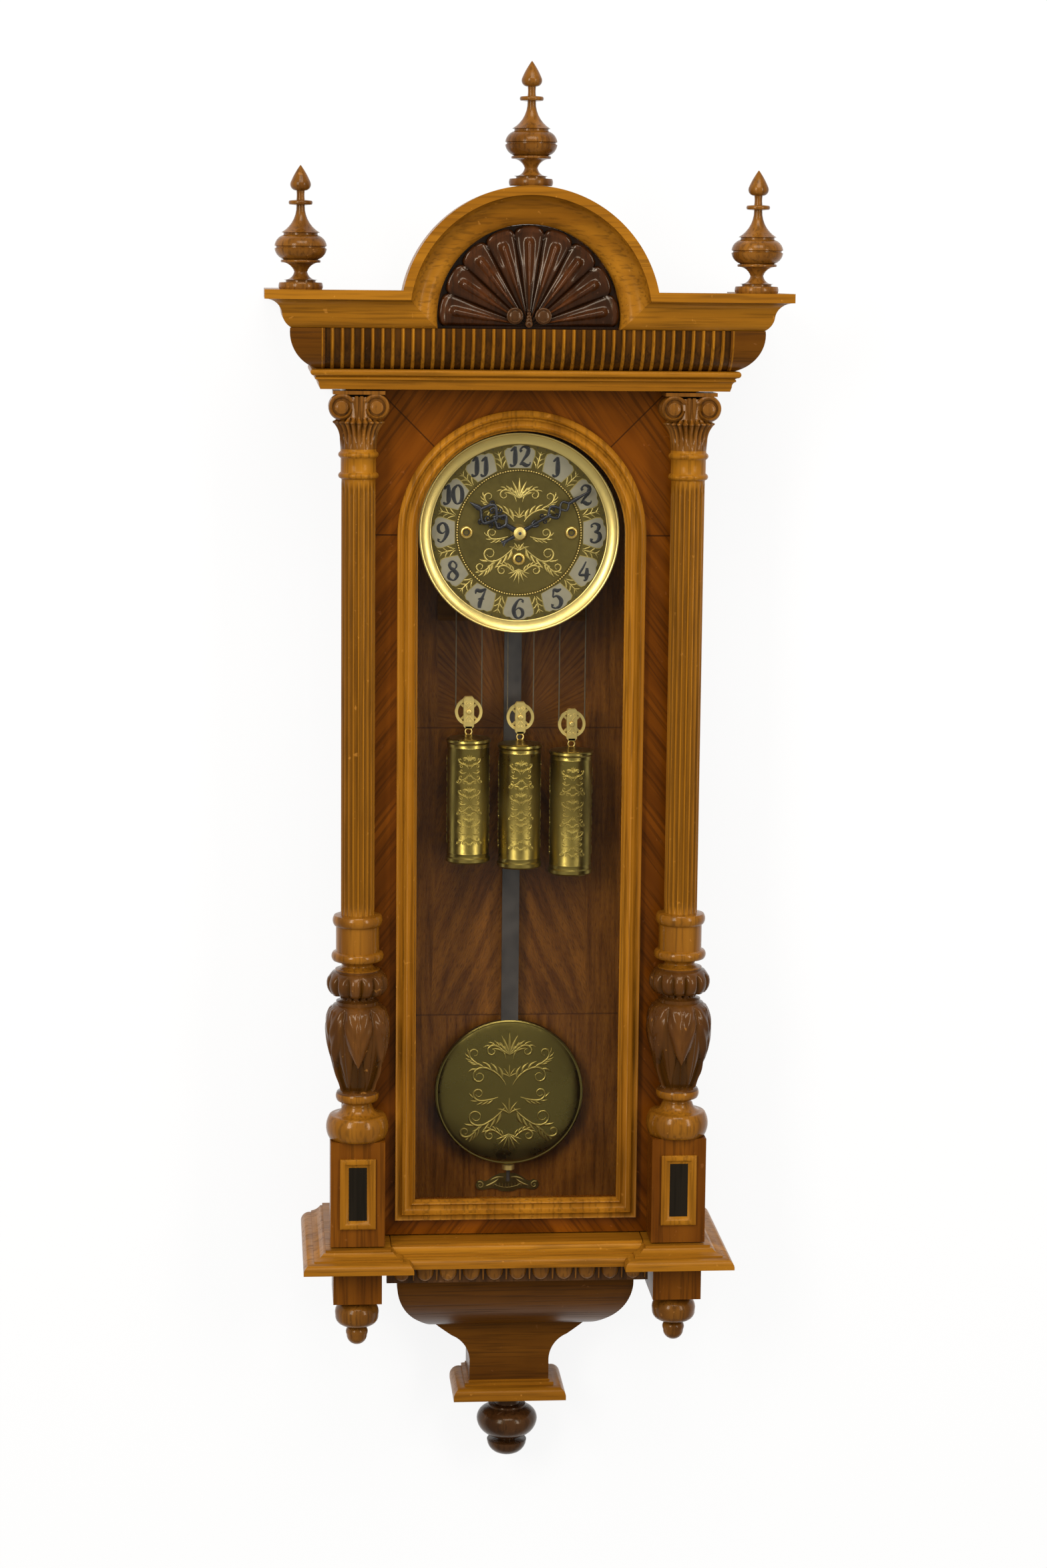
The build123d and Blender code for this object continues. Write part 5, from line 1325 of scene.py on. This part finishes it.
bezel = section(
    (86.9, 86.2), (86.9, 89.6), (88.2, 90.0, 0.2), (96.4, 93.2, -0.7), (97.6, 94.4, 0.3),
    (98.6, 94.3, 0.3), (99.0, 93.4), (99.0, 88.0), (97.4, 86.2))
Form().ring(0, DIAL_Z, bezel, 180).done("dial_bezel", brass, "case", "dial_pan")

pan = Form().ring(0, DIAL_Z, ((8.6, 86.0), (8.6, 87.2), (87.4, 87.2), (87.4, 86.0)), 120)
for x, z in ((-60, -36), (60, -36), (-40, 50), (40, 50)):
    pan.turn_facing(x, DIAL_Z + z, ((3, -74), (3, -86.4)), 24)
pan.done("dial_pan_plate", aged_brass, "case")

CHAPTER = ((62.7, 87.0), (62.7, 89.2), (86.5, 89.2), (86.5, 87.0))
Form().ring(0, DIAL_Z, CHAPTER, 180).done("chapter_ring_plate", dial_brass, "case", "chapter_ring")


def shield(angle, size=1.0):
    """The outline of one numeral shield: a straight foot and a scalloped head."""
    half = 15.6 * size
    shape = [(-half * 0.72, -11.6), (half * 0.72, -11.6), (half * 0.86, -5.0), (half, 1.5), (half, 5.6),
             (half * 0.80, 8.4), (half * 0.56, 8.6), (half * 0.36, 10.8), (0.0, 11.6)]
    shape += [(-u, v) for u, v in shape[-2:1:-1]]
    points = []
    for u, v in shape:
        reach = 74.9 + v * (0.5 + 0.5 * size)
        points.append((
            sin(angle) * reach + cos(angle) * u, DIAL_Z + cos(angle) * reach - sin(angle) * u))
    return points


shields = Form()
rims = Form()
for hour in range(12):
    angle = hour * pi / 6
    shields.plate(shield(angle, 0.94), -89.0, -90.1)
    rims.plate(shield(angle, 1.0), -89.0, -89.7)
rims.done("shield_rims", dial_relief_highlit, "case")
shields.done("numeral_shields", silvered, "case", sharp=30)

# %% [markdown]
# ## Pen-drawn numerals
# The numerals look as if a broad pen drew them: swelling strokes with little curls. Each figure is
# one to three smooth runs in a box one unit high, and the width of a run is the pressure of the pen.
# The minute track and the beads round the centre are patterns that a tree sets in a circle.

# %% Pen-drawn numerals
FIGURES = {
    "0": [[(.30, 1, .06), (.08, .78, .13), (.04, .46, .16), (.14, .12, .12), (.30, 0, .06),
           (.50, .16, .13), (.56, .52, .16), (.48, .86, .12), (.30, 1, .06)]],
    "1": [[(.04, .76, .04), (.14, .84, .09), (.30, 1, .06)],
          [(.30, 1, .10), (.31, .6, .17), (.30, .2, .17), (.24, .02, .08), (.08, 0, .10),
           (.02, .10, .05)]],
    "2": [[(.16, .74, .12), (.08, .84, .08), (.26, 1, .07), (.52, .90, .14), (.50, .66, .16),
           (.30, .38, .10), (.06, .08, .05)],
          [(.04, .06, .05), (.20, .12, .13), (.42, .02, .14), (.62, .08, .06), (.64, .20, .04)]],
    "3": [[(.14, .80, .11), (.10, .92, .06), (.30, 1, .07), (.52, .88, .14), (.46, .66, .11),
           (.26, .55, .05)],
          [(.26, .55, .05), (.54, .48, .13), (.58, .22, .16), (.34, 0, .08), (.10, .05, .08),
           (.12, .20, .12)]],
    "4": [[(.40, 1, .05), (.22, .66, .08), (.02, .32, .09), (.30, .28, .10), (.66, .32, .05)],
          [(.46, .66, .10), (.44, .30, .17), (.40, .04, .10), (.26, 0, .05)]],
    "5": [[(.58, 1.02, .05), (.36, .92, .14), (.16, .98, .09), (.13, .80, .07), (.10, .58, .06)],
          [(.10, .56, .05), (.34, .64, .09), (.58, .42, .16), (.52, .12, .13), (.28, 0, .07),
           (.08, .06, .07), (.10, .20, .12)]],
    "6": [[(.52, .84, .11), (.56, .94, .06), (.38, 1, .06), (.18, .80, .11), (.04, .46, .16),
           (.12, .12, .13), (.32, 0, .07), (.54, .16, .12), (.52, .42, .12), (.32, .54, .06),
           (.14, .42, .04)]],
    "7": [[(.02, .74, .04), (.08, .94, .12), (.32, .90, .14), (.62, 1.02, .07)],
          [(.62, 1.02, .05), (.44, .62, .10), (.28, .28, .16), (.24, 0, .12)],
          [(.16, .46, .04), (.34, .50, .08), (.52, .46, .04)]],
    "8": [[(.50, .86, .08), (.30, 1, .06), (.12, .86, .12), (.16, .66, .11), (.36, .52, .15),
           (.56, .28, .14), (.44, .05, .09), (.28, 0, .06), (.06, .14, .12), (.12, .38, .09),
           (.34, .54, .05), (.50, .70, .07), (.50, .86, .08)]]}
FIGURES["9"] = [[(0.6 - u, 1 - v, w) for u, v, w in run] for run in FIGURES["6"]]
FIGURE_H = 18.7
FIGURE_STEP = 0.52
FIGURE_HALF = 0.31
FIGURE_R = 75.2
numerals = Form()
for hour in range(1, 13):
    angle = hour * pi / 6
    middle_u, middle_v = sin(angle) * FIGURE_R, cos(angle) * FIGURE_R
    figures = str(hour)
    for n, figure in enumerate(figures):
        shift = (n - (len(figures) - 1) / 2) * FIGURE_STEP - FIGURE_HALF
        for run in FIGURES[figure]:
            pen = [
                (middle_u + (u + shift) * FIGURE_H * 0.92, middle_v + (v - 0.5) * FIGURE_H,
                 w * FIGURE_H * 1.6) for u, v, w in smooth(run, 5)]
            numerals.strokes([pen], on_dial(90.1), 0.25)
numerals.done("numerals", ink, "case", sharp=80)

tick = Form().block(-0.22, 0.22, -1.0, 1.0, 0.0, 0.5)
tick_pattern = pattern_of(tick, "tick_pattern")
grown("minute_track", ring_tree(
    "minute_ring", tick_pattern, ink, 60, 0.0852, (0, -0.0892, DIAL_Z * MM)), "case", {"Count": 60})
bpy.data.objects.remove(tick_pattern)

bead = Form().turn(0, 0, [(0.02, 1.05), (0.7, 0.8), (1.05, 0.1), (1.05, -0.4)], 10)
bead_pattern = pattern_of(bead, "bead_pattern")
grown("bead_ring", ring_tree(
    "beads", bead_pattern, brass, 150, 0.0614, (0, -0.0898, DIAL_Z * MM), False), "case",
    {"Count": 150}, sharp=60)
bpy.data.objects.remove(bead_pattern)

CENTRE = ((8.8, 87.2), (8.8, 88.8), (60.0, 88.8), (60.4, 90.2), (62.4, 90.2), (62.4, 87.2))
Form().ring(0, DIAL_Z, CENTRE, 120).done("dial_centre_plate", dial_brass, "case", "dial_centre")

WINDING = ((-52.0, 0.0), (0.0, -26.0), (52.0, 0.0))
WINDING_CLEAR = 8.0
HAND_CLEAR = 11.0
SCROLL_REACH = 58.5


def clear_of_holes(u, v):
    """True where the ornament is clear of the hands' pipe, the winding holes and the rim."""
    if not HAND_CLEAR < sqrt(u * u + v * v) <= SCROLL_REACH:
        return False
    return all(sqrt((u - a) ** 2 + (v - b) ** 2) > WINDING_CLEAR for a, b in WINDING)


ornament = trimmed(scrollwork(60.0), clear_of_holes)
Form().strokes(ornament, on_dial(88.8), 0.9).done("dial_ornament", dial_relief_highlit, "case", sharp=70)

cups = Form()
hole_shades = Form()
CUP = ((3.1, 86.6), (6.4, 86.6), (6.4, 89.8), (5.6, 91.0), (4.7, 91.3), (3.5, 90.2), (3.1, 88.6))
# painted shade: a near-black tube inside each winding hole stands in for the shade in the hole
HOLE_SHADE = ((2.3, 84.6), (3.2, 84.6), (3.2, 88.9), (2.3, 88.9))
for x, z in WINDING:
    cups.ring(x, DIAL_Z + z, CUP, 40)
    hole_shades.ring(x, DIAL_Z + z, HOLE_SHADE, 40)
cups.done("winding_cups", brass, "case")
hole_shades.done("winding_sleeves", ink, "case")

# %% [markdown]
# ## The hands
# The black hands are pierced and serpentine: the hour hand has a big scrolled head near its middle,
# the minute hand two small ones. They are flat bands, bent along curves, on the same pipes.


# %% The hands
HAND_SPREAD = 1.2
HAND_BOLD = 1.8125


def hand_piece(name, finish, body, node, angle, depth, runs, boss):
    """Bands in the hand's own sheet, where v points along the hand, turned to the hour."""
    lean = radians(angle)
    form = Form()

    def place(u, v, h):
        return (u * cos(lean) + v * sin(lean), -depth - h, DIAL_Z + v * cos(lean) - u * sin(lean))

    form.strokes(
        [[(u * HAND_SPREAD, v, w * HAND_BOLD) for u, v, w in run] for run in runs], place, 1.5)
    form.turn_facing(0, DIAL_Z, section(
        (boss, -depth), (boss, -depth - 0.9), (boss - 0.9, -depth - 1.3), (2.7, -depth - 1.3),
        (2.7, -depth)), 40)
    return form.done(name, finish, body, *([node] if node else []), sharp=60)


hour_runs = [
    [(0, 0, 3.4), (0, 8, 3.0), (0, 15, 2.4)], [(0, 44, 2.6), (0, 48, 3.2), (0, 54, 1.6), (0, 58, 0.3)],
    [(-5, 19, 1.6), (0, 15, 2.4), (5, 19, 1.6)], [(-3, 42, 1.6), (0, 45, 2.4), (3, 42, 1.6)]]
hour_runs += mirror_runs([
    [(5.2 * sin(pi * k / 12) * (1 + 0.35 * sin(pi * k / 6)), 15 + 15 * k / 12, 1.7) for k in range(13)],
    [(8.6 * sin(pi * k / 14) ** 1.3, 26 + 19 * k / 14, 1.8) for k in range(15)],
    spiral(3.6, 34, -1.2, 1.2, 3.2, 1.5), spiral(3.2, 22, 1.9, 1.1, 2.4, 1.3, -1),
    spiral(9.0, 38, 3.0, 1.1, 2.6, 1.3, -1), spiral(7.4, 28, 2.8, 1.1, 2.2, 1.2)])
hand_piece(
    "hour_hand_pierced", black_steel, "hour_hand", None, -58.5, 93.5, hour_runs, 5.4)

minute_runs = [
    [(0, -20, 2.6), (0, -12, 1.7), (0, 0, 3.0), (0, 12, 2.2), (0, 24, 1.6), (0, 36, 1.6)],
    [(0, 56, 1.6), (0, 64, 2.4), (0, 72, 1.4), (0, 82, 0.5)],
    [(-2.4, -20, 1.2), (0, -17, 1.8), (2.4, -20, 1.2)]]
minute_runs += mirror_runs([
    [(5.4 * sin(pi * k / 12) ** 1.2, 33 + 14 * k / 12, 1.5) for k in range(13)],
    [(3.8 * sin(pi * k / 12) ** 1.2, 46 + 11 * k / 12, 1.4) for k in range(13)],
    spiral(2.8, 40, -1.2, 1.1, 2.2, 1.2), spiral(2.4, 27, 1.9, 1.1, 1.8, 1.1, -1),
    frond(0.5, 14, 0.9, 8, 1.0, 1.4)])
hand_piece(
    "minute_hand_pierced", black_steel, "minute_hand", "minute_hand", 58.8, 96.0, minute_runs, 4.6)
Form().turn_facing(0, DIAL_Z, section((1.6, -99.8), (1.6, -100.7), (0, -101.0, 0.2)), 24).done(
    "hand_pin", black_steel, "minute_hand", sharp=50)
Form().turn_facing(0, DIAL_Z, section(
    (6.4, -97.6), (6.4, -98.8), (5.0, -100.0, 0.4), (0, -100.4, 0.3)), 40).done(
    "hand_cap", brass, "minute_hand", sharp=50)

# %% [markdown]
# ## The hour wheel behind the dial
# The hour hand and its pipe and wheel are one node in the model. The pierced hand above takes the
# place of the front part. The back part is a merged copy of the node, cut off behind the dial, with
# a turned pipe through it.

# %% The hour wheel behind the dial
wheel_mesh = bmesh.new()
wheel_mesh.from_mesh(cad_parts["hour_hand"].data)
bmesh.ops.remove_doubles(wheel_mesh, verts=wheel_mesh.verts, dist=1e-6)
bmesh.ops.delete(
    wheel_mesh, geom=[v for v in wheel_mesh.verts if v.co.y < -0.0840], context="VERTS")
bmesh.ops.holes_fill(wheel_mesh, edges=[e for e in wheel_mesh.edges if e.is_boundary], sides=0)
bmesh.ops.recalc_face_normals(wheel_mesh, faces=wheel_mesh.faces)
hour_wheel_mesh = bpy.data.meshes.new("hour_wheel")
wheel_mesh.to_mesh(hour_wheel_mesh)
wheel_mesh.free()
hour_wheel_mesh.materials.clear()
hour_wheel_mesh.materials.append(brass)
hour_wheel = bpy.data.objects.new("hour_wheel", hour_wheel_mesh)
bpy.context.collection.objects.link(hour_wheel)
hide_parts("hour_hand")
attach(hour_wheel, "hour_hand")
PIPE = ((3.1, 77.0), (3.9, 77.0), (3.9, 94.2), (3.1, 94.2))
Form().ring(0, DIAL_Z, PIPE, 32).done("hour_pipe", brass, "hour_hand")

# %% [markdown]
# ## Weights, pulleys and lines
# A weight is a brass tube with an overhanging lid and foot, and pressed scrolls all round. It hangs
# by a flat strap from a spoked pulley. The line comes down from its barrel, goes under the pulley
# and back up to the seat board.

# %% Weights, pulleys and lines
PULLEYS = {
    "left": (-46.35, -382.5, -200.0), "centre": (5.65, -388.0, -226.0),
    "right": (57.65, -395.0, -200.0)}
PULLEY_RIM = (
    (10.6, -1.2), (10.9, -2.2), (13.8, -2.5), (13.8, -1.9), (12.4, -0.7), (12.4, 0.7), (13.8, 1.9),
    (13.8, 2.5), (10.9, 2.2), (10.6, 1.2))
PULLEY_HUB = ((1.7, -2.2), (3.4, -2.2), (3.4, 2.2), (1.7, 2.2))
PULLEY_SPOKE = ((-1.1, -1.0), (1.1, -1.0), (1.1, 1.0), (-1.1, 1.0))
WEIGHT_Y = -55.0
LINE_SIDE = 13.0
LINE_R = 0.62
TUBE_R = 21.2

for side, (x, z, barrel_z) in PULLEYS.items():
    top = z - 25.5
    body = f"weight_{side}"
    tube = Form().turn(x, WEIGHT_Y, section(
        (0, top + 2.4), (5.0, top + 2.2), (9.0, top + 1.0), (19.0, top - 0.8), (22.3, top - 2.2, 0.5),
        (22.6, top - 4.4), (21.8, top - 5.4), (21.2, top - 6.2), (21.2, top - 9.0), (21.6, top - 9.8),
        (21.2, top - 10.6), (21.2, top - 116.0), (21.6, top - 117.0), (21.2, top - 118.0),
        (21.3, top - 120.6), (22.5, top - 122.0), (22.4, top - 125.4), (21.0, top - 127.0),
        (0, top - 127.0)), 96)
    tube.done(f"weight_tube_{side}", weight_brass, body, body, sharp=30)

    relief = []
    for tier in (-32.0, -64.0, -94.0):
        relief += scrollwork(19.0, tier, 1.5)

    def on_tube(u, v, h):
        return (
            x + (TUBE_R - 0.05 + h) * sin(u / TUBE_R), WEIGHT_Y - (TUBE_R - 0.05 + h) * cos(u / TUBE_R),
            top + v)

    foliage = Form()
    for turned in (-44.4, 0.0, 44.4):
        foliage.strokes(
            [[(u + turned, v, w) for u, v, w in run[::2]] for run in relief], on_tube, 0.9)
    foliage.done(f"weight_relief_{side}", weight_relief_highlit, body, sharp=70)

    hanger = Form()
    for y in (WEIGHT_Y - 4.2, WEIGHT_Y + 2.9):
        hanger.plate([
            (x - 3.4, z - 16.8), (x + 3.4, z - 16.8), (x + 5.2, z - 14.6), (x + 5.2, z + 13.2),
            (x + 3.6, z + 15.2), (x - 3.6, z + 15.2), (x - 5.2, z + 13.2), (x - 5.2, z - 14.6)],
            y, y + 1.3)
    hanger.block(x - 3.4, x + 3.4, WEIGHT_Y - 4.2, WEIGHT_Y + 4.2, z - 16.6, z - 14.6)
    hanger.turn_facing(x, z, section(
        (1.9, WEIGHT_Y + 5.0), (1.9, WEIGHT_Y - 5.2), (2.6, WEIGHT_Y - 5.4), (1.8, WEIGHT_Y - 6.4, 0.3),
        (0, WEIGHT_Y - 6.6)), 24)
    eye = [(3.3 + 0.9 * cos(pi * k / 5), -WEIGHT_Y - 0.9 * sin(pi * k / 5)) for k in range(10)]
    hanger.ring(x, z - 20.4, eye, 32)
    hanger.turn(x, WEIGHT_Y, [
        (0, top + 3.2), (2.2, top + 3.0), (3.4, top + 2.4), (4.4, top + 1.0), (0, top + 0.8)], 24)
    engraving = [[(x + u, z + v, w) for u, v, w in run] for run in mirror_runs([
        spiral(2.0, 9.0, -1.0, 1.1, 2.0, 0.7), spiral(2.0, -9.0, 1.0, 1.1, 2.0, 0.7, -1),
        frond(0.4, 3.4, 1.2, 6, -0.6, 1.1), frond(0.4, -3.4, -1.2, 6, 0.6, 1.1)])]
    hanger.strokes(engraving, lambda u, v, h: (u, WEIGHT_Y - 4.2 - h, v), 0.4)
    hanger.done(f"weight_hanger_{side}", brass, body)

    wheel = Form()
    wheel.ring(x, z, [(r, -WEIGHT_Y - y) for r, y in PULLEY_RIM], 64)
    wheel.ring(x, z, [(r, -WEIGHT_Y - y) for r, y in PULLEY_HUB], 32)
    for k in range(4):
        a = pi / 4 + k * pi / 2
        wheel.loft([
            [(x + r * cos(a) - s * sin(a), WEIGHT_Y + y, z + r * sin(a) + s * cos(a))
             for s, y in PULLEY_SPOKE] for r in (3.0, 10.9)])
    wheel.done(f"pulley_wheel_{side}", brass, f"pulley_{side}", f"pulley_{side}", sharp=40)

    route = [(x + LINE_SIDE, barrel_z - 2.0 - (barrel_z - z - 2.0) * k / 24) for k in range(24)]
    route += [(x + LINE_SIDE * cos(pi * k / 20), z - LINE_SIDE * sin(pi * k / 20)) for k in range(21)]
    route += [(x - LINE_SIDE, z + (-254.0 - z) * k / 20) for k in range(1, 21)]
    rope = Form()
    rings = []
    for i, (u, v) in enumerate(route):
        before, after = route[max(0, i - 1)], route[min(len(route) - 1, i + 1)]
        heading = atan2(after[1] - before[1], after[0] - before[0])
        rings.append([
            (u - LINE_R * cos(a) * sin(heading), WEIGHT_Y + LINE_R * sin(a),
             v + LINE_R * cos(a) * cos(heading))
            for a in (2 * pi * k / 8 for k in range(8))])
    rope.loft(rings)
    rope_piece = rope.done(f"weight_line_{side}", gut, None, f"line_{side}", sharp=60)
    (z + 16.0) * MM
    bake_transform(rope_piece)

# %% [markdown]
# ## The bob and the beat plate
# The bob is a spun brass disc with a rolled rim and pressed scrolls round a palmette. Under it a
# small shaped plate on the back board shows how far the pendulum swings.

# %% The bob and the beat plate
BOB_Z = -783.0
bob = Form().turn_facing(0, BOB_Z, section(
    (0, -17.6), (66, -17.8), (74.5, -19.8), (76.8, -22.6), (76.9, -25.4), (76.2, -27.4),
    (75.0, -28.2), (73.8, -28.0), (73.0, -28.3), (70.0, -29.0), (60, -29.7), (50, -30.0),
    (25, -30.4), (0, -30.6)), 200)
bob.done("bob_disc", bob_brass, "bob", "bob", sharp=30)


def on_bob(u, v, h):
    return (u, -30.5 + (u * u + v * v) / 2500 * 0.5 - h, BOB_Z + v)


bob_runs = trimmed(scrollwork(72.0), lambda u, v: sqrt(u * u + v * v) < 67.0)
Form().strokes(bob_runs, on_bob, 0.9).done("bob_relief", bob_relief, "bob", sharp=70)

BEAT_Z = -883.0
beat = Form()
beat_half = [
    (0, -9.6), (6, -9.2), (11, -6.6), (16, -5.8), (21, -6.6), (26, -7.8), (31, -6.2), (33, -2.6),
    (31.4, 1.6), (27, 3.2), (23.6, 1.4), (20, 2.6), (15, 6.4), (8, 9.6), (0, 10.6)]
beat_outline = beat_half + [(-u, v) for u, v in beat_half[-2:0:-1]]
beat.plate([(u, v + BEAT_Z) for u, v in beat_outline], -12.0, -13.5)
beat.done("beat_scale", dial_brass, "case", "beat_plate")
beat_runs = mirror_runs([
    spiral(28.2, -2.4, 1.0, 1.2, 3.8, 1.3), frond(22, -3, 2.9, 15, -0.6, 1.9),
    frond(4, 6, 0.1, 14, -0.7, 1.7),
    [(2.0 * k, -5.0 + 0.02 * (2.0 * k) ** 2, 0.7) for k in range(8)],
    *[[(1.6 + 3.2 * k, -4.2 + 0.05 * k * k, 0.6), (1.7 + 3.3 * k, -0.4 + 0.05 * k * k, 0.4)]
      for k in range(5)]])
Form().strokes(
    beat_runs, lambda u, v, h: (u, -13.5 - h, BEAT_Z + v), 0.5).done(
    "beat_scale_engraving", dial_relief_highlit, "case", sharp=70)

# %% [markdown]
# ## Foliage between the shields
# Between two numeral shields the chapter ring carries a small pair of leaves. The same pair is drawn
# twelve times, turned by a twelfth each time.

# %% Foliage between the shields
spray = mirror_runs([
    frond(0.8, -9.5, 1.2, 12, -0.8, 1.9), frond(0.8, -2.0, 1.1, 9, -1.3, 1.7),
    frond(0.4, 3.5, 1.2, 6, -1.0, 1.4)])
spray += [frond(0, -8.0, pi / 2, 16, 0.0, 2.0)]
between = Form()
for hour in range(12):
    lean = (hour + 0.5) * pi / 6

    def on_ring(u, v, h):
        reach = 74.6 + v
        return (
            sin(lean) * reach + cos(lean) * u, -89.2 - h, DIAL_Z + cos(lean) * reach - sin(lean) * u)

    between.strokes([[(u * 0.9, v, w) for u, v, w in run] for run in spray], on_ring, 0.6)
between.done("chapter_foliage", dial_relief_highlit, "case", sharp=70)
